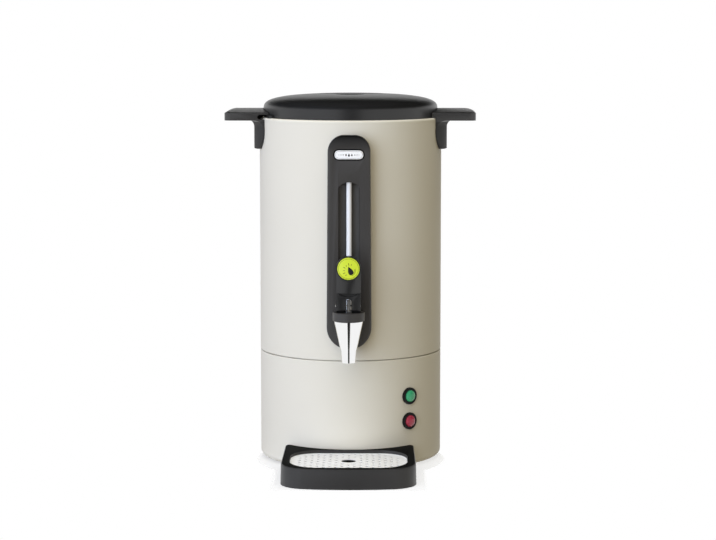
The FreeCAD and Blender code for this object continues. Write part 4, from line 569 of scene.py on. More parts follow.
def pocketOutline(halfWide, deep, side, steps=56):
    # Half an ellipse behind the bar, with its two corners rounded.
    start = lidFacts["bar"]
    raw = [Vector((halfWide * math.cos(math.pi * k / steps), start + deep * math.sin(math.pi * k / steps)))
           for k in range(steps + 1)]
    low = [Vector((raw[-1].x + (raw[0].x - raw[-1].x) * k / 12, start)) for k in range(1, 12)]
    outline = raw + low
    for _ in range(6):
        outline = [(outline[k - 1] + outline[k] * 2 + outline[(k + 1) % len(outline)]) / 4
                   for k in range(len(outline))]
    if side < 0:
        outline = [Vector((p.x, -p.y)) for p in reversed(outline)]
    return outline


def pocketCutter(name, halfWide, deep, side):
    outline = pocketOutline(halfWide, deep, side)
    count = len(outline)
    normals = []
    for k in range(count):
        along = outline[(k + 1) % count] - outline[k - 1]
        normals.append(Vector((along.y, -along.x)).normalized())
    # The lip towards the front is rounded more than the one towards the back.
    sharp, soft = lidFacts["round"]
    front, back = min(p.y for p in outline), max(p.y for p in outline)
    edges = [soft + (sharp - soft) * (p.y - front) / (back - front) for p in outline]
    # Each row: outward and upward, first as shares of the lip's rounding, then as lengths.
    rows = [(3.0, 0, 0, 5 * mm), (3.0, 0, 2.0, 0)]
    for step in range(7):
        turn = math.radians(14 + 76 * step / 6)
        rows.append((1 - math.sin(turn), 0, math.cos(turn) - 1, 0))
    under, low, bend = lidFacts["under"], -lidFacts["depth"], lidFacts["floorRound"]
    rows.append((0, 0, -2, 0))
    lipRows = len(rows)
    rows.append((0, under, -2, -2 * under))
    rows.append((0, under, 0, low + bend))
    for step in range(1, 5):
        turn = math.radians(90 * step / 4)
        rows.append((0, under - bend * (1 - math.cos(turn)), 0, low + bend * (1 - math.sin(turn))))
    loops = []
    for index, (growShare, grow, riseShare, rise) in enumerate(rows):
        row = []
        for point, normal, edge in zip(outline, normals, edges):
            spot = point + normal * (growShare * edge + grow)
            level = domeHeight(spot.length) if index < lipRows else lidHigh.z
            row.append(Vector((spot.x, spot.y, level + riseShare * edge + rise)))
        loops.append(row)
    vertices = [v for row in loops for v in row]
    faces = []
    for r in range(len(loops) - 1):
        for k in range(count):
            n = (k + 1) % count
            faces.append((r * count + k, r * count + n, (r + 1) * count + n, (r + 1) * count + k))
    faces.append(tuple(range(count)))
    faces.append(tuple((len(loops) - 1) * count + k for k in reversed(range(count))))
    mesh = meshFrom(name, [v + axis for v in vertices], faces=faces)
    work = bmesh.new()
    work.from_mesh(mesh)
    bmesh.ops.remove_doubles(work, verts=work.verts, dist=1e-6)
    return work


lid = turned("lidShell", lidSection(), "black_plastic", axis, 256, sharp=50)
for label, size, side in (("fingerCutter", lidFacts["finger"], 1), ("thumbCutter", lidFacts["thumb"], -1)):
    cutOut(lid, pocketCutter(label, size[0], size[1], side), label)
cleaned(lid, 40, 2e-6)
placed(lid, "lid", "black_plastic", "lid_shell")
lugFacts = {"angle": 27, "half": 3.3, "reach": 3.9 * mm, "root": 1.5 * mm, "height": 3.1 * mm, "tip": 2 * mm,
            "edge": 0.5 * mm}
outer = lidFacts["radius"] + lugFacts["reach"]
inner = lidFacts["radius"] - lugFacts["root"]
half = outer * math.sin(math.radians(lugFacts["half"]))
lugs = []
for turn in (90 + lugFacts["angle"], -90 + lugFacts["angle"]):
    work = blockOf((2 * half, outer - inner, lugFacts["height"]),
                   (0, -(outer + inner) / 2, lidLow.z + lugFacts["height"] / 2))
    tips = [e for e in work.edges if all(v.co.y < -(outer + inner) / 2 for v in e.verts)
            and abs(e.verts[0].co.z - e.verts[1].co.z) > mm]
    bmesh.ops.bevel(work, geom=tips, offset=lugFacts["tip"], segments=6, profile=0.5, affect="EDGES")
    rims = [e for e in work.edges if len(e.link_faces) == 2 and e.calc_face_angle(0) > 1.2]
    bmesh.ops.bevel(work, geom=rims, offset=lugFacts["edge"], segments=2, profile=0.5, affect="EDGES")
    bmesh.ops.rotate(work, matrix=Matrix.Rotation(math.radians(turn), 3, "Z"), verts=work.verts)
    bmesh.ops.translate(work, vec=axis, verts=work.verts)
    lugs.append(linked("lidLugs" + str(len(lugs)), meshOf(work, "lug")))
lidLugs = joinedTo(*lugs)
lidLugs.name = "lidLugs"
placed(cleaned(lidLugs, 35), "lid", "black_plastic")
print("lid", len(lid.data.polygons))


# Handles, front panel and lever

handleFacts = {"grip": 14.5 * mm}
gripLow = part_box("handle_right")[1].z - handleFacts["grip"]
tree = looks["handleBlack"].node_tree
place = addNode(tree, "ShaderNodeTexCoord").outputs["Object"]
below = wired(tree, "ShaderNodeSeparateXYZ", {0: place}).outputs[2]
dulled(tree, below, (gripLow, gripLow - 1 * mm), 0.5)      # the legs are not polished like the grips
for side in ("handle_right", "handle_left"):
    refinedCopy(side, "black_plastic", 0.9, 28, 1.5, 3, "handleBlack")
refinedCopy("tap_panel", "black_plastic", 0.5, 28, 1.2, 2, "panelBlack")
# The floor grey is painted light on the channel's floor.
panelFacts = {"channel": 11.4 * mm, "channelDrop": 59 * mm, "depth": 6 * mm, "floor": 0.085, "paintedShadeTop": 20 * mm}
panelLow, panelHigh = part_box("tap_panel")
tree = looks["panelBlack"].node_tree
place = wired(tree, "ShaderNodeSeparateXYZ", {0: addNode(tree, "ShaderNodeTexCoord").outputs["Object"]}).outputs
aside = calc(tree, "ABSOLUTE", calc(tree, "SUBTRACT", place[0], (panelLow.x + panelHigh.x) / 2))
behind = calc(tree, "GREATER_THAN", place[1], panelLow.y + panelFacts["depth"])
inChannel = calc(tree, "MULTIPLY", calc(tree, "LESS_THAN", aside, panelFacts["channel"]), behind)
below = calc(tree, "LESS_THAN", place[2], panelHigh.z - panelFacts["channelDrop"])
inChannel = calc(tree, "MULTIPLY", inChannel, below)
dulled(tree, inChannel, (0, 1), 0.0, panelFacts["floor"])     # painted light: the channel's floor gets a lighter grey, a painted reflection, so it shows as light as the front
dulled(tree, place[2], (panelHigh.z - panelFacts["paintedShadeTop"], panelHigh.z), 0.3, 0.0005)     # painted shade: darker, and rougher, up to the top
refinedCopy("tap_lever", "lever_black", 0.6, 28, 1.2, 3)
refinedCopy("lever_pin", "bright_steel", 0.15, 30, 1.0, 2)
badge = refinedCopy("badge_plate", "white_plate", 0.25, 28, 1.0, 2)
badgeLow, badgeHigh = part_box("badge_plate")
badgeMiddle = (badgeLow + badgeHigh) / 2
# The places and heights of the short bars, and of the disc's arcs, are (first, step) in millimetres.
badgeFacts = {"scale": (0.966, 1, 0.925, 1), "inset": 1.5 * mm, "line": 0.22 * mm, "bar": 0.45 * mm, "bars": 4,
              "barPlace": (6.6, 1.7), "barTall": (1.9, -0.35), "dropSize": 3.0 * mm, "dropPitch": 3.4 * mm,
              "pad": 1.0 * mm, "shadeSheetThick": 0.1 * mm}
badge.data.transform(Matrix.Translation(badgeMiddle) @ Matrix.Diagonal(badgeFacts["scale"])
                     @ Matrix.Translation(-badgeMiddle))
disc = refinedCopy("lever_disc", "lime_disc", 0.15, 28, 1.0, 2)


def pad(name, outline, back, thick, body, slot):
    # A thin dull black sheet behind a plate, as painted shade: it shows as a dark ring of shadow around the plate. It
    # starts just inside the plate.
    count = len(outline)
    back -= 0.02 * mm
    vertices = [Vector((p.x, back - thick * k, p.y)) for k in (0, 1) for p in outline]
    faces = [tuple(range(count)), tuple(reversed(range(count, 2 * count)))]
    faces += [(k, count + k, count + (k + 1) % count, (k + 1) % count) for k in range(count)]
    return placed(cleaned(linked(name, meshFrom(name, vertices, faces=faces))), body, slot, look="shadeSheetBlack")


print("handles, panel, lever")


# Printed marks: thin ribbons and filled shapes that lie on the piece below them

def arc(x, z, radius, start, end, steps=24):
    return [Vector((x + radius * math.cos(math.radians(start + (end - start) * k / steps)),
                    z + radius * math.sin(math.radians(start + (end - start) * k / steps))))
            for k in range(steps + 1)]


def dropOutline(x, z, size, lean=0, steps=40):
    # A round foot that runs out into a point on top.
    out = []
    for k in range(steps):
        turn = 2 * math.pi * k / steps
        wide = size * 0.5 * math.sin(turn) * math.sin(turn / 2) ** 1.4
        out.append(Matrix.Rotation(math.radians(lean), 2) @ Vector((wide, size * 0.62 * math.cos(turn))))
    return [p + Vector((x, z)) for p in out]


def ribbon(points, width, closed=False):
    # A line of even width as a row of four-cornered fields.
    fields = []
    count = len(points)
    sides = []
    for k, point in enumerate(points):
        onward = points[(k + 1) % count] if closed or k < count - 1 else point
        back = points[k - 1] if closed or k else point
        along = (onward - back).normalized()
        across = Vector((-along.y, along.x)) * width / 2
        sides.append((point + across, point - across))
    for k in range(count if closed else count - 1):
        a, b = sides[k], sides[(k + 1) % count]
        fields.append([a[0], a[1], b[1], b[0]])
    return fields


def printed(name, fields, carrier, slot, body, way=-1, ink=0.06 * mm):
    # way is the side the marks are seen from: -1 for the front and 1 for the back.
    work = bmesh.new()
    work.from_mesh(carrier.data)
    tree = BVHTree.FromBMesh(work)
    work.clear()
    for field in fields:
        rows = []
        for lift in (ink, -ink):
            row = []
            for point in field:
                hit = tree.ray_cast(Vector((point.x, way, point.y)), Vector((0, -way, 0)))[0]
                row.append(work.verts.new((point.x, hit.y + way * lift, point.y)))
            rows.append(row)
        work.faces.new(rows[0])
        work.faces.new(list(reversed(rows[1])))
        for k in range(len(field)):
            n = (k + 1) % len(field)
            work.faces.new((rows[0][n], rows[0][k], rows[1][k], rows[1][n]))
    bmesh.ops.triangulate(work, faces=[f for f in work.faces if len(f.verts) > 4])
    bmesh.ops.recalc_face_normals(work, faces=work.faces)
    return placed(linked(name, meshOf(work, name)), body, slot)


badgeX = (badgeLow.x + badgeHigh.x) / 2
badgeZ = (badgeLow.z + badgeHigh.z) / 2
halfW = (badgeHigh.x - badgeLow.x) / 2 - badgeFacts["inset"]
halfH = (badgeHigh.z - badgeLow.z) / 2 - badgeFacts["inset"]


def badgeLine(grow):
    return [p for side in (1, -1) for p in arc(badgeX + side * (halfW - halfH), badgeZ, halfH + grow,
                                               -90 * side, -90 * side + 180)]


marks = ribbon(badgeLine(0), badgeFacts["line"], True)
for k in (-1, 0, 1):
    marks.append(dropOutline(badgeX + k * badgeFacts["dropPitch"], badgeZ - (0.2 - 0.3 * abs(k)) * mm,
                             badgeFacts["dropSize"] * (1 - 0.22 * abs(k))))
for side in (-1, 1):
    for k in range(badgeFacts["bars"]):
        x = badgeX + side * (badgeFacts["barPlace"][0] + badgeFacts["barPlace"][1] * k) * mm
        tall = (badgeFacts["barTall"][0] + badgeFacts["barTall"][1] * k) * mm
        marks += ribbon([Vector((x, badgeZ - tall / 2)), Vector((x, badgeZ + tall / 2))], badgeFacts["bar"])
printed("badgeMarks", marks, badge, "switchgear", "urn")
# painted shade: a black sheet behind the badge shows as a dark ring of shadow around it
pad("badgePad", badgeLine(badgeFacts["inset"] + badgeFacts["pad"]), badgeHigh.y, badgeFacts["shadeSheetThick"], "urn",
    "black_plastic")

discLow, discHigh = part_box("lever_disc")
discFacts = {"line": 0.28 * mm, "edge": 1.3 * mm, "drop": 8.6 * mm, "dropPlace": (1.9 * mm, -2.2 * mm), "lean": 24,
             "ray": 2.7 * mm, "rays": 7, "from": 6.2 * mm, "rayTurn": (78, 150), "arcs": (5.0, 1.1),
             "arcTurn": (-70, 20), "pad": 0.5 * mm, "shadeSheetThick": 0.1 * mm}
discX = (discLow.x + discHigh.x) / 2
discZ = (discLow.z + discHigh.z) / 2
discRadius = (discHigh.x - discLow.x) / 2
marks = ribbon(arc(discX, discZ, discRadius - discFacts["edge"], 0, 360, 72)[:-1], discFacts["line"], True)
dropX = discX + discFacts["dropPlace"][0]
dropZ = discZ + discFacts["dropPlace"][1]
marks.append(dropOutline(dropX, dropZ, discFacts["drop"], discFacts["lean"]))
for k in range(discFacts["rays"]):
    turn = math.radians(discFacts["rayTurn"][0] + discFacts["rayTurn"][1] * k / (discFacts["rays"] - 1))
    way = Vector((math.cos(turn), math.sin(turn)))
    long = discFacts["ray"] * (1 if k % 2 else 0.6)
    start = Vector((dropX, dropZ)) + way * discFacts["from"]
    marks += ribbon([start, start + way * long], discFacts["line"] * 2)
for k in range(2):
    radius = (discFacts["arcs"][0] + discFacts["arcs"][1] * k) * mm
    marks += ribbon(arc(dropX, dropZ, radius, *discFacts["arcTurn"], 16), discFacts["line"] * 1.3)
printed("discMarks", marks, disc, "lever_black", "lever")
# painted shade: a black sheet behind the disc shows as a dark ring of shadow around it
pad("discPad", arc(discX, discZ, discRadius + discFacts["pad"], 0, 360, 96)[:-1], discHigh.y, discFacts["shadeSheetThick"],
    "lever", "lever_black")
print("badge and disc")


# Level gauge

gaugeLow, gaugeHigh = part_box("gauge_tube")
gauge = {"bore": 2.0 * mm, "edge": 0.5 * mm}
gaugeRadius = (gaugeHigh.x - gaugeLow.x) / 2
gaugeX = (gaugeLow.x + gaugeHigh.x) / 2
tube = turned("gaugeTube", [
    (gauge["bore"], gaugeLow.z),
    (gaugeRadius, gaugeLow.z, gauge["edge"]),
    (gaugeRadius, gaugeHigh.z, gauge["edge"]),
    (gauge["bore"], gaugeHigh.z),
], "gauge_glass", (gaugeX, (gaugeLow.y + gaugeHigh.y) / 2, 0), 64, closed=True)
placed(tube, "urn", "gauge_glass", "gauge_tube")


# Tap

spoutLow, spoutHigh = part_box("tap_body")
tap = {"tip": 8.1 * mm, "neck": 9.0 * mm, "low": 10.6 * mm, "top": 17.25 * mm, "bore": 5.6 * mm,
       "neckRise": 13.5 * mm, "lowRise": 19.5 * mm, "topRise": 49.5 * mm, "boreRise": 27 * mm,
       "thread": 13.6 * mm, "threadTall": 5.9 * mm, "shankRise": 38 * mm}
spoutZ = spoutLow.z
threadZ = spoutZ + tap["topRise"]
spout = turned("chromedSpout", [
    (0, spoutZ + tap["boreRise"]),
    (tap["bore"], spoutZ + tap["boreRise"], 0.4 * mm),
    (tap["bore"], spoutZ, 0.7 * mm),
    (tap["tip"], spoutZ, 0.7 * mm),
    (tap["neck"], spoutZ + tap["neckRise"], 16 * mm),
    (tap["low"], spoutZ + tap["lowRise"], 8 * mm),
    (tap["top"], threadZ, 0.35 * mm),
    (tap["thread"], threadZ),
    (tap["thread"], threadZ + tap["threadTall"]),
    (0, threadZ + tap["threadTall"]),
], "spout_chrome", tapAxis, 128, steps=8)
shankFacts = {"radius": 8.5 * mm, "flange": 12.3 * mm, "flangeFrom": 34.5 * mm, "flangeTo": 36.9 * mm,
              "length": 44 * mm}
shank = turned("tapShank", [
    (0, 0),
    (shankFacts["radius"], 0, 0.6 * mm),
    (shankFacts["radius"], shankFacts["flangeFrom"]),
    (shankFacts["flange"], shankFacts["flangeFrom"]),
    (shankFacts["flange"], shankFacts["flangeTo"]),
    (shankFacts["radius"], shankFacts["flangeTo"]),
    (shankFacts["radius"], shankFacts["length"]),
    (0, shankFacts["length"]),
], "spout_chrome", segments=64)
shank = aimed(shank, (tapAxis.x, spoutHigh.y, spoutZ + tap["shankRise"]), (0, -1, 0))
placed(joinedTo(spout, shank), "urn", "spout_chrome", "tap_body")
nut = {"edge": 0.9 * mm, "lip": 11.2 * mm, "mouth": 13.7 * mm, "mouthDeep": 2 * mm}
nutRadius = (nutHigh.x - nutLow.x) / 2
collar = turned("collarNut", [
    (nut["lip"], nutLow.z + nut["mouthDeep"]),
    (nut["mouth"], nutLow.z),
    (nutRadius, nutLow.z, nut["edge"]),
    (nutRadius, nutHigh.z, nut["edge"]),
    (nut["lip"], nutHigh.z, 0.3 * mm),
    (nut["lip"], nutLow.z + nut["mouthDeep"]),
], "lever_black", tapAxis, 128)
placed(collar, "urn", "lever_black", "bonnet_nut", look="panelBlack")

springLow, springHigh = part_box("tap_spring")
spring = cleaned(linked("tapSpring", nodes["tap_spring"].data.copy()), 60)
placed(spring, nodes["tap_spring"]["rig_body"], "bright_steel", "tap_spring")
tall = springHigh.z - springLow.z
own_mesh(spring)
print("gauge and tap")


# Lamps

def ribTree():
    # Fine ribs that run down a dome from its crown.
    tree, start = startTree("domeRibs", [("Ribs", "Float"), ("Depth", "Float"), ("Reach", "Float")])
    spot = addNode(tree, "GeometryNodeInputPosition").outputs[0]
    apart = wired(tree, "ShaderNodeSeparateXYZ", {0: spot})
    angle = calc(tree, "ARCTAN2", apart.outputs[1], apart.outputs[0])
    wave = calc(tree, "COSINE", calc(tree, "MULTIPLY", angle, start.outputs["Ribs"]))
    flat = wired(tree, "ShaderNodeVectorMath", {0: spot, 1: (1, 1, 0)}, operation="MULTIPLY")
    radius = wired(tree, "ShaderNodeVectorMath", {0: flat.outputs[0]}, operation="LENGTH").outputs["Value"]
    share = calc(tree, "MINIMUM", calc(tree, "DIVIDE", radius, start.outputs["Reach"]), 1.0)
    rise = calc(tree, "MULTIPLY", calc(tree, "MULTIPLY", wave, share), start.outputs["Depth"])
    normal = addNode(tree, "GeometryNodeInputNormal").outputs[0]
    shift = wired(tree, "ShaderNodeVectorMath", {0: normal, "Scale": rise}, operation="SCALE")
    moved = wired(tree, "GeometryNodeSetPosition", {"Geometry": start.outputs["Geometry"],
                                                    "Offset": shift.outputs[0]})
    return endTree(tree, start, moved.outputs[0])


ribbing = ribTree()
lamp = {"bezel": 10.2 * mm, "out": 3.1 * mm, "mouth": 7.1 * mm, "edge": 1.2 * mm, "behind": 1.2 * mm,
        "lens": 6.8 * mm, "rise": 0.4 * mm, "dome": 3.6 * mm, "depth": 8 * mm, "ribs": 18.0, "ribDepth": 0.13 * mm,
        "step": 0.5 * mm, "stepWide": 0.9 * mm, "slopeWide": 1.4 * mm, "wall": 1.0 * mm, "barrel": 6 * mm}
bezels = []
for lens, slot in (("green_lens", "green_lens"), ("red_lens", "red_lens")):
    low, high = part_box(lens)
    centre = axis + lampWay * bodyRadius + Vector((0, 0, (low.z + high.z) / 2))
    bezel = turned("lampBezels" + lens, [
        (lamp["mouth"], -lamp["depth"]),
        (lamp["mouth"], lamp["out"] - lamp["step"], 0.4 * mm),
        (lamp["mouth"] + lamp["stepWide"], lamp["out"] - lamp["step"], 0.3 * mm),
        (lamp["mouth"] + lamp["slopeWide"], lamp["out"], 0.3 * mm),
        (lamp["bezel"], lamp["out"], lamp["edge"]),
        (lamp["bezel"], -lamp["behind"]),
        (lamp["mouth"] + lamp["wall"], -lamp["behind"]),
        (lamp["mouth"] + lamp["wall"], -lamp["depth"] - lamp["barrel"]),
        (0, -lamp["depth"] - lamp["barrel"]),
        (0, -lamp["depth"]),
        (lamp["mouth"], -lamp["depth"]),
    ], "switchgear", segments=72)
    bezels.append(aimed(bezel, centre, lampWay))
    edge = lamp["out"] + lamp["rise"]
    sphere = (lamp["lens"] ** 2 + lamp["dome"] ** 2) / (2 * lamp["dome"])
    span = math.asin(lamp["lens"] / sphere)
    turns = [span * (1 - k / 14) for k in range(1, 15)]
    crown = [(sphere * math.sin(turn), edge + lamp["dome"] - sphere * (1 - math.cos(turn))) for turn in turns]
    crown[-1] = (0, edge + lamp["dome"])
    dome = turned(slot + "Dome", [(0, -lamp["depth"] + 1 * mm), (lamp["lens"], -lamp["depth"] + 1 * mm),
                                  (lamp["lens"], edge, 0.3 * mm)] + crown, slot, segments=144)
    ribbed = grown(slot + ".ribbed", dome.data.copy(), ribbing, slot,
                   {"Ribs": lamp["ribs"], "Depth": lamp["ribDepth"], "Reach": lamp["lens"]})
    bpy.data.objects.remove(dome)
    placed(cleaned(aimed(ribbed, centre, lampWay), 50), "urn", slot, lens)
placed(joinedTo(*bezels), "urn", "switchgear", "lamp_housings", look="bezelBlack")
print("lamps")


# Drip tray and its perforated plate

refinedCopy("drip_tray", "tray_black", 0.5, 28, 1.2, 3)
tree = looks["tray_black"].node_tree
facing = addNode(tree, "ShaderNodeNewGeometry").outputs["Normal"]
trayFacts = {"facing": (0.90, 0.99), "extra": 0.60, "paintedLightGrey": 0.0005}      # faces that look up get painted shade: a darker base colour, and more roughness
upward = wired(tree, "ShaderNodeSeparateXYZ", {0: facing}).outputs[2]
dulled(tree, upward, trayFacts["facing"], trayFacts["extra"], trayFacts["paintedLightGrey"])


def perforatedTree():
    # Staggered holes inside a rounded outline and clear of the middle, cut from the plate in one go.
    tree, start = startTree("perforations", [("Pitch X", "Float"), ("Pitch Y", "Float"), ("Hole Radius", "Float"),
                                             ("Half Width", "Float"), ("Half Depth", "Float"), ("Corner", "Float"),
                                             ("Clear Radius", "Float"), ("Centre Radius", "Float"),
                                             ("Middle", "Vector"), ("Columns", "Int"), ("Rows", "Int")])
    put = start.outputs
    grid = wired(tree, "GeometryNodeMeshGrid", {
        "Vertices X": put["Columns"], "Vertices Y": put["Rows"],
        "Size X": calc(tree, "MULTIPLY", calc(tree, "SUBTRACT", put["Columns"], 1.0), put["Pitch X"]),
        "Size Y": calc(tree, "MULTIPLY", calc(tree, "SUBTRACT", put["Rows"], 1.0), put["Pitch Y"])})
    apart = wired(tree, "ShaderNodeSeparateXYZ", {0: addNode(tree, "GeometryNodeInputPosition").outputs[0]})
    x, y = apart.outputs[0], apart.outputs[1]
    column = calc(tree, "ROUND", calc(tree, "DIVIDE", x, put["Pitch X"]))
    row = calc(tree, "FLOOR", calc(tree, "DIVIDE", y, put["Pitch Y"]))
    odd = calc(tree, "FLOORED_MODULO", calc(tree, "ADD", column, row), 2.0)
    skipped = calc(tree, "GREATER_THAN", odd, 0.5)
    across = calc(tree, "ABSOLUTE", x)
    along = calc(tree, "ABSOLUTE", y)
    straightX = calc(tree, "SUBTRACT", put["Half Width"], put["Corner"])
    dx = calc(tree, "MAXIMUM", calc(tree, "SUBTRACT", across, straightX), 0.0)
    straightY = calc(tree, "SUBTRACT", put["Half Depth"], put["Corner"])
    dy = calc(tree, "MAXIMUM", calc(tree, "SUBTRACT", along, straightY), 0.0)
    out = wired(tree, "ShaderNodeVectorMath", {0: wired(tree, "ShaderNodeCombineXYZ", {0: dx, 1: dy}).outputs[0]},
                operation="LENGTH").outputs["Value"]
    beyond = calc(tree, "GREATER_THAN", out, put["Corner"])
    near = wired(tree, "ShaderNodeVectorMath", {0: wired(tree, "ShaderNodeCombineXYZ", {0: x, 1: y}).outputs[0]},
                 operation="LENGTH").outputs["Value"]
    middle = calc(tree, "LESS_THAN", near, put["Clear Radius"])
    gone = calc(tree, "MAXIMUM", calc(tree, "MAXIMUM", skipped, beyond), middle)
    kept = wired(tree, "GeometryNodeDeleteGeometry", {"Geometry": grid.outputs["Mesh"], "Selection": gone},
                 domain="POINT")
    cutter = wired(tree, "GeometryNodeMeshCylinder", {"Vertices": 14, "Radius": put["Hole Radius"], "Depth": 0.01})
    holes = wired(tree, "GeometryNodeInstanceOnPoints", {"Points": kept.outputs[0], "Instance": cutter.outputs["Mesh"]})
    centre = wired(tree, "GeometryNodeMeshCylinder", {"Vertices": 40, "Radius": put["Centre Radius"], "Depth": 0.01})
    both = addNode(tree, "GeometryNodeJoinGeometry")
    tree.links.new(holes.outputs[0], both.inputs[0])
    tree.links.new(centre.outputs["Mesh"], both.inputs[0])
    moved = wired(tree, "GeometryNodeTransform", {"Geometry": both.outputs[0], "Translation": put["Middle"]})
    whole = wired(tree, "GeometryNodeRealizeInstances", {"Geometry": moved.outputs[0]})
    cut = addNode(tree, "GeometryNodeMeshBoolean", operation="DIFFERENCE")
    tree.links.new(put["Geometry"], cut.inputs["Mesh 1"])
    tree.links.new(whole.outputs[0], cut.inputs["Mesh 2"])
    return endTree(tree, start, cut.outputs["Mesh"])


plateLow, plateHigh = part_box("drip_plate")
plate = {"end": 11 * mm, "pitchX": 7.2 * mm, "pitchY": 6.8 * mm, "hole": 2.0 * mm, "margin": 3.4 * mm,
         "centre": 8.7 * mm, "step": 0.35 * mm, "stepIn": 2.2 * mm, "edge": 0.25 * mm}
plateW = (plateHigh.x - plateLow.x) / 2
plateD = (plateHigh.y - plateLow.y) / 2
plateMiddle = Vector(((plateHigh.x + plateLow.x) / 2, (plateHigh.y + plateLow.y) / 2, plateLow.z))
plateRound = plateD - plate["end"]


def plateLoop(inset, z, steps=20):
    loop = []
    for sx, sy, start in ((1, 1, 0), (-1, 1, 90), (-1, -1, 180), (1, -1, 270)):
        for point in arc(sx * (plateW - plateRound), sy * (plateD - plateRound), plateRound - inset,
                         start, start + 90, steps):
            loop.append(plateMiddle + Vector((point.x, point.y, z)))
    return loop


thick = plateHigh.z - plateLow.z
levels = [(plate["edge"], 0), (0, plate["edge"]), (0, thick - plate["edge"]), (plate["edge"], thick),
          (plate["stepIn"], thick), (plate["stepIn"] + 0.5 * mm, thick - plate["step"])]
rows = [plateLoop(inset, z) for inset, z in levels]
count = len(rows[0])
faces = [tuple(reversed(range(count)))]
for r in range(len(rows) - 1):
    faces += [(r * count + k, r * count + (k + 1) % count, (r + 1) * count + (k + 1) % count, (r + 1) * count + k)
              for k in range(count)]
faces.append(tuple((len(rows) - 1) * count + k for k in range(count)))
plateMesh = meshFrom("drainPlate", [v for row in rows for v in row], faces=faces)
back = plate["margin"] + plate["hole"]
drain = grown("drainPlate", plateMesh, perforatedTree(), "perforated_steel", {
    "Pitch X": plate["pitchX"], "Pitch Y": plate["pitchY"], "Hole Radius": plate["hole"],
    "Half Width": plateW - back, "Half Depth": plateD - back, "Corner": plateRound - back,
    "Clear Radius": plate["centre"] + 2 * plate["hole"], "Centre Radius": plate["centre"],
    "Middle": plateMiddle, "Columns": 2 * int((plateW - back) / plate["pitchX"]) + 1,
    "Rows": 2 * int((plateD - back) / plate["pitchY"] + 0.5)})
placed(cleaned(drain, 30, 2e-7), "plate", "perforated_steel", "drip_plate")
print("tray and plate", len(drain.data.polygons))


# Rear connection panel, screws and feet

def scatterTree():
    # One small piece set on every point, each turned a little further than the last.
    tree, start = startTree("setPieces", [("Piece", "Object"), ("Turn", "Float")])
    piece = wired(tree, "GeometryNodeObjectInfo", {"Object": start.outputs["Piece"]})
    index = addNode(tree, "GeometryNodeInputIndex").outputs[0]
    angle = calc(tree, "MULTIPLY", index, start.outputs["Turn"])
    turn = wired(tree, "ShaderNodeCombineXYZ", {2: angle})
    points = wired(tree, "GeometryNodeInstanceOnPoints", {"Points": start.outputs["Geometry"],
                                                          "Instance": piece.outputs["Geometry"],
                                                          "Rotation": turn.outputs[0]})
    return endTree(tree, start, points.outputs[0])


scattering = scatterTree()


def scattered(name, spots, piece, slot, turn):
    thing = grown(name, meshFrom(name, spots), scattering, slot, {"Piece": piece, "Turn": turn})
    bpy.data.objects.remove(piece)
    return thing


refinedCopy("rear_panel", "black_plastic", 0.5, 28, 1.2, 2)
refinedCopy("inlet_socket", "switchgear", 0.4, 28, 1.0, 2)
refinedCopy("inlet_pins", "brass_parts", 0.25, 28, 1.0, 2)
refinedCopy("switch_frame", "switchgear", 0.3, 28, 1.0, 2)
rocker = refinedCopy("switch_rocker", "switchgear", 0.3, 28, 1.0, 2)
rockerLow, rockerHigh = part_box("switch_rocker")
rockerX = (nodes["switch_rocker"].bound_box[0][0] + nodes["switch_rocker"].bound_box[6][0]) / 2
rockerZ = (rockerLow.z + rockerHigh.z) / 2
rockerMark = {"rise": 4.6 * mm, "size": 1.7 * mm, "line": 0.5 * mm}
top = rockerZ + rockerMark["rise"]
bottom = rockerZ - rockerMark["rise"]
marks = ribbon([Vector((rockerX, top - rockerMark["size"])), Vector((rockerX, top + rockerMark["size"]))],
               rockerMark["line"])
marks += ribbon(arc(rockerX, bottom, rockerMark["size"], 0, 360, 32)[:-1], rockerMark["line"], True)
printed("rockerMarks", marks, rocker, "white_plate", "rocker", 1)

screwLow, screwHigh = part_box("rear_panel_screws")
screw = {"head": 2.75 * mm, "tall": 2.1 * mm, "slot": 0.55 * mm, "deep": 1.0 * mm, "length": 10 * mm,
         "thread": 1.5 * mm, "brim": 0.9 * mm, "flat": 0.55, "cross": 1.25}
screwHead = turned("rearScrews", [
    (0, -screw["length"]), (screw["thread"], -screw["length"], 0.3 * mm), (screw["thread"], -screw["tall"]),
    (screw["head"], -screw["tall"], 0.15 * mm), (screw["head"], -screw["brim"], 0.8 * mm),
    (screw["head"] * screw["flat"], 0, 1 * mm), (0, 0)], "zinc_steel", segments=40)
for turn in (0, 90):
    work = blockOf((screw["head"] * screw["cross"], screw["slot"], 2 * screw["deep"]))
    bmesh.ops.rotate(work, matrix=Matrix.Rotation(math.radians(turn), 3, "Z"), verts=work.verts)
    cutOut(screwHead, work, "recess")
screwZ = (screwLow.z + screwHigh.z) / 2
spots = [(screwLow.x + screw["head"], -screwZ, 0), (screwHigh.x - screw["head"], -screwZ, 0)]
screws = scattered("rearScrews", spots, screwHead, "zinc_steel", 0.7)
screws.data.transform(Matrix.Translation((0, screwHigh.y, 0)) @ Matrix.Rotation(math.radians(-90), 4, "X"))
placed(cleaned(screws, 40), "urn", "zinc_steel", "rear_panel_screws")

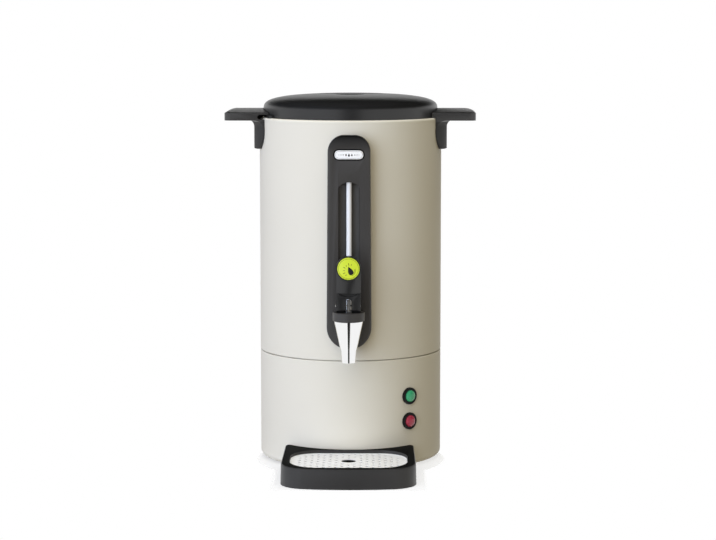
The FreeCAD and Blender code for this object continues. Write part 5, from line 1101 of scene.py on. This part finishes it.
feetLow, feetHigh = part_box("rubber_feet")
foot = {"radius": 9 * mm, "circle": 84 * mm, "start": 45, "count": 4, "tall": 3.0 * mm, "groove": 0.4 * mm}
footPiece = turned("rubberFeet", [
    (0, 0.5 * mm), (4.2 * mm, 0.5 * mm, 0.2 * mm), (4.8 * mm, 0, 0.2 * mm), (6.2 * mm, 0, 0.15 * mm),
    (6.5 * mm, foot["groove"], 0.1 * mm), (6.9 * mm, foot["groove"], 0.1 * mm), (7.2 * mm, 0, 0.15 * mm),
    (foot["radius"], 0, 0.8 * mm), (foot["radius"], foot["tall"], 0.3 * mm), (3 * mm, foot["tall"]),
    (3 * mm, feetHigh.z - feetLow.z - 1.8 * mm), (4.2 * mm, feetHigh.z - feetLow.z - 1.8 * mm, 0.2 * mm),
    (2.6 * mm, feetHigh.z - feetLow.z, 0.3 * mm), (0, feetHigh.z - feetLow.z)], "black_rubber", segments=56)
spots = []
for k in range(foot["count"]):
    turn = math.radians(foot["start"] + 360 * k / foot["count"])
    spots.append(axis + Vector((math.cos(turn), math.sin(turn), 0)) * foot["circle"] + Vector((0, 0, feetLow.z)))
feet = scattered("rubberFeet", spots, footPiece, "black_rubber", 0.4)
placed(cleaned(feet, 40), "urn", "black_rubber", "rubber_feet")
print("rear panel, screws, feet")


# Camera, floor, light

aim = {"distance": 2.701, "side": 0.040, "pan": 0.655, "height": 0.5435, "tilt": 90 - 6.63, "lens": 110.916}
cameraData = bpy.data.cameras.new("mainCamera")
cameraData.lens = aim["lens"]
cameraData.sensor_width = 36
cameraData.clip_end = 50
camera = bpy.data.objects.new("mainCamera", cameraData)
camera.location = (aim["side"], axis.y - aim["distance"], aim["height"])
camera.rotation_euler = (math.radians(aim["tilt"]), 0, math.radians(aim["pan"]))
scene.collection.objects.link(camera)
scene.camera = camera


def areaLight(name, azimuth, elevation, distance, size, tall, level, colour):
    # level 1 lights a surface that faces the lamp so that white renders as white.
    turn, rise = math.radians(azimuth), math.radians(elevation)
    way = Vector((math.sin(turn) * math.cos(rise), -math.cos(turn) * math.cos(rise), math.sin(rise)))
    data = bpy.data.lights.new(name, "AREA")
    data.energy = level * math.pi ** 2 * distance ** 2
    data.color = colour
    data.shape = "RECTANGLE"
    data.size = size
    data.size_y = tall
    light = bpy.data.objects.new(name, data)
    light.location = Vector((0, 0, 0.22)) + way * distance
    light.rotation_euler = way.to_track_quat("Z", "Y").to_euler()
    light.visible_glossy = False
    scene.collection.objects.link(light)


# Azimuth, elevation, distance, width, height, level, colour.
lights = {
    "keyLight": (-39, 10, 2.5, 2.6, 2.4, 0.853, (0.504, 0.699, 1.0)),
    "frontLight": (-15, 10, 2.5, 2.6, 2.4, 0.471, (1.0, 0.885, 0.758)),
    "sideLight": (-65, 10, 2.5, 2.0, 2.4, 0.250, (0.8, 0.696, 1.0)),
    "topLight": (0, 88, 2.5, 2.4, 2.4, 0.90, (1, 1, 1)),
    "backLight": (180, 20, 3.0, 1.6, 1.6, 0.60, (1, 1, 1)),
}
for name, facts in lights.items():
    areaLight(name, *facts)

floorFacts = {"tray": (0.000, 0.014), "trayFront": (-0.002, 0.003), "base": (0.000, 0.009), "shift": 0.030,
              "size": 4.0, "thin": (0.45, 0.70), "thinReach": 0.09}
reach = floorFacts["size"]
floorMesh = meshFrom("floor", [(-reach, -reach, 0), (reach, -reach, 0), (reach, reach, 0), (-reach, reach, 0)],
                     faces=[(0, 1, 2, 3)])
floor = linked("floor", floorMesh)
trayLow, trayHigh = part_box("drip_tray")
floorMaterial, tree, shader = newMaterial("paleFloor")
shader.inputs["Base Color"].default_value = (0.92, 0.92, 0.92, 1)
shader.inputs["Roughness"].default_value = 0.9
socketOf(shader, "Specular IOR Level").default_value = 0.1
gone = addNode(tree, "ShaderNodeBsdfTransparent")
place = addNode(tree, "ShaderNodeTexCoord")
ahead = axis - Vector((0, floorFacts["shift"], 0))    # the base's shadow lies in front of it
fromAxis = wired(tree, "ShaderNodeVectorMath", {0: place.outputs["Object"], 1: ahead}, operation="DISTANCE")
fromBase = calc(tree, "SUBTRACT", fromAxis.outputs["Value"], bodyRadius - 3 * mm)
apart = wired(tree, "ShaderNodeSeparateXYZ", {0: place.outputs["Object"]})
wide = calc(tree, "SUBTRACT", calc(tree, "ABSOLUTE", apart.outputs[0]), trayHigh.x)
long = calc(tree, "SUBTRACT", trayLow.y, apart.outputs[1])
behind = calc(tree, "SUBTRACT", apart.outputs[1], axis.y)


def faded(distance, span):
    return wired(tree, "ShaderNodeMapRange", {"Value": distance, "From Min": span[0], "From Max": span[1]},
                 interpolation_type="SMOOTHSTEP").outputs["Result"]


besideTray = calc(tree, "MAXIMUM", faded(wide, floorFacts["tray"]), faded(long, floorFacts["trayFront"]))
besideTray = calc(tree, "MAXIMUM", besideTray, faded(behind, floorFacts["tray"]))
fade = calc(tree, "MINIMUM", faded(fromBase, floorFacts["base"]), besideTray)
thin = wired(tree, "ShaderNodeMapRange", {"Value": apart.outputs[0], "From Min": -floorFacts["thinReach"],
                                          "From Max": floorFacts["thinReach"],
                                          "To Min": floorFacts["thin"][0], "To Max": floorFacts["thin"][1]})
fade = calc(tree, "MAXIMUM", fade, thin.outputs["Result"])
blend = addNode(tree, "ShaderNodeMixShader")
tree.links.new(fade, blend.inputs["Fac"])
tree.links.new(shader.outputs[0], blend.inputs[1])
tree.links.new(gone.outputs[0], blend.inputs[2])
tree.links.new(blend.outputs[0], tree.nodes["Material Output"].inputs["Surface"])
floorMesh.materials.append(floorMaterial)

cards = {"radius": 6.0, "above": 0.335, "segments": 120, "rings": 60, "ahead": 0.80, "middle": 0.028,
         "half": 0.10, "soft": 0.14, "low": -0.9, "high": 1.5}
work = bmesh.new()
bmesh.ops.create_uvsphere(work, u_segments=cards["segments"], v_segments=cards["rings"], radius=cards["radius"])
lost = [face for face in work.faces if face.calc_center_median().z < cards["above"] * cards["radius"]]
bmesh.ops.delete(work, geom=lost, context="FACES")
bmesh.ops.reverse_faces(work, faces=work.faces)
spread = cards["half"] + cards["soft"]
work.faces.new([work.verts.new((cards["middle"] + side * spread, tapAxis.y - cards["ahead"], z)) for side, z in (
    (-1, cards["low"]), (1, cards["low"]), (1, cards["high"]), (-1, cards["high"]))])
cardMesh = meshOf(work, "blackCards")
blackCards = linked("blackCards", cardMesh)
cardMaterial, tree, shader = newMaterial("blackCard")
shader.inputs["Base Color"].default_value = (0.01, 0.01, 0.01, 1)
shader.inputs["Roughness"].default_value = 1.0
socketOf(shader, "Specular IOR Level").default_value = 0.0
place = addNode(tree, "ShaderNodeTexCoord").outputs["Object"]
apart = wired(tree, "ShaderNodeSeparateXYZ", {0: place})
off = calc(tree, "ABSOLUTE", calc(tree, "SUBTRACT", apart.outputs[0], cards["middle"]))
near = calc(tree, "LESS_THAN", calc(tree, "ABSOLUTE", calc(tree, "SUBTRACT", apart.outputs[1],
                                                          tapAxis.y - cards["ahead"])), 0.001)
soft = calc(tree, "MULTIPLY", near, faded(off, (cards["half"], spread)))
blend = wired(tree, "ShaderNodeMixShader", {"Fac": soft, 1: shader.outputs[0],
                                            2: addNode(tree, "ShaderNodeBsdfTransparent").outputs[0]})
tree.links.new(blend.outputs[0], tree.nodes["Material Output"].inputs["Surface"])
cardMesh.materials.append(cardMaterial)
blackCards.visible_camera = False
blackCards.visible_diffuse = False
blackCards.visible_transmission = False
blackCards.visible_shadow = False
blackCards.visible_volume_scatter = False

studio = {"ambient": (0.216, 0.189, 0.119), "background": (1, 1, 1)}
world = scene.world or bpy.data.worlds.new("studio")
scene.world = world
world.use_nodes = True
tree = world.node_tree
tree.nodes.clear()
path = addNode(tree, "ShaderNodeLightPath")
seen = calc(tree, "MAXIMUM", path.outputs["Is Camera Ray"],
            calc(tree, "MAXIMUM", path.outputs["Is Glossy Ray"], path.outputs["Is Transmission Ray"]))
soft = wired(tree, "ShaderNodeBackground", {"Color": (*studio["ambient"], 1), "Strength": 1.0})
plain = wired(tree, "ShaderNodeBackground", {"Color": (*studio["background"], 1), "Strength": 1.0})
pick = addNode(tree, "ShaderNodeMixShader")
out = addNode(tree, "ShaderNodeOutputWorld")
tree.links.new(seen, pick.inputs["Fac"])
tree.links.new(soft.outputs[0], pick.inputs[1])
tree.links.new(plain.outputs[0], pick.inputs[2])
tree.links.new(pick.outputs[0], out.inputs["Surface"])
scene.view_settings.view_transform = "Standard"
print("stage")
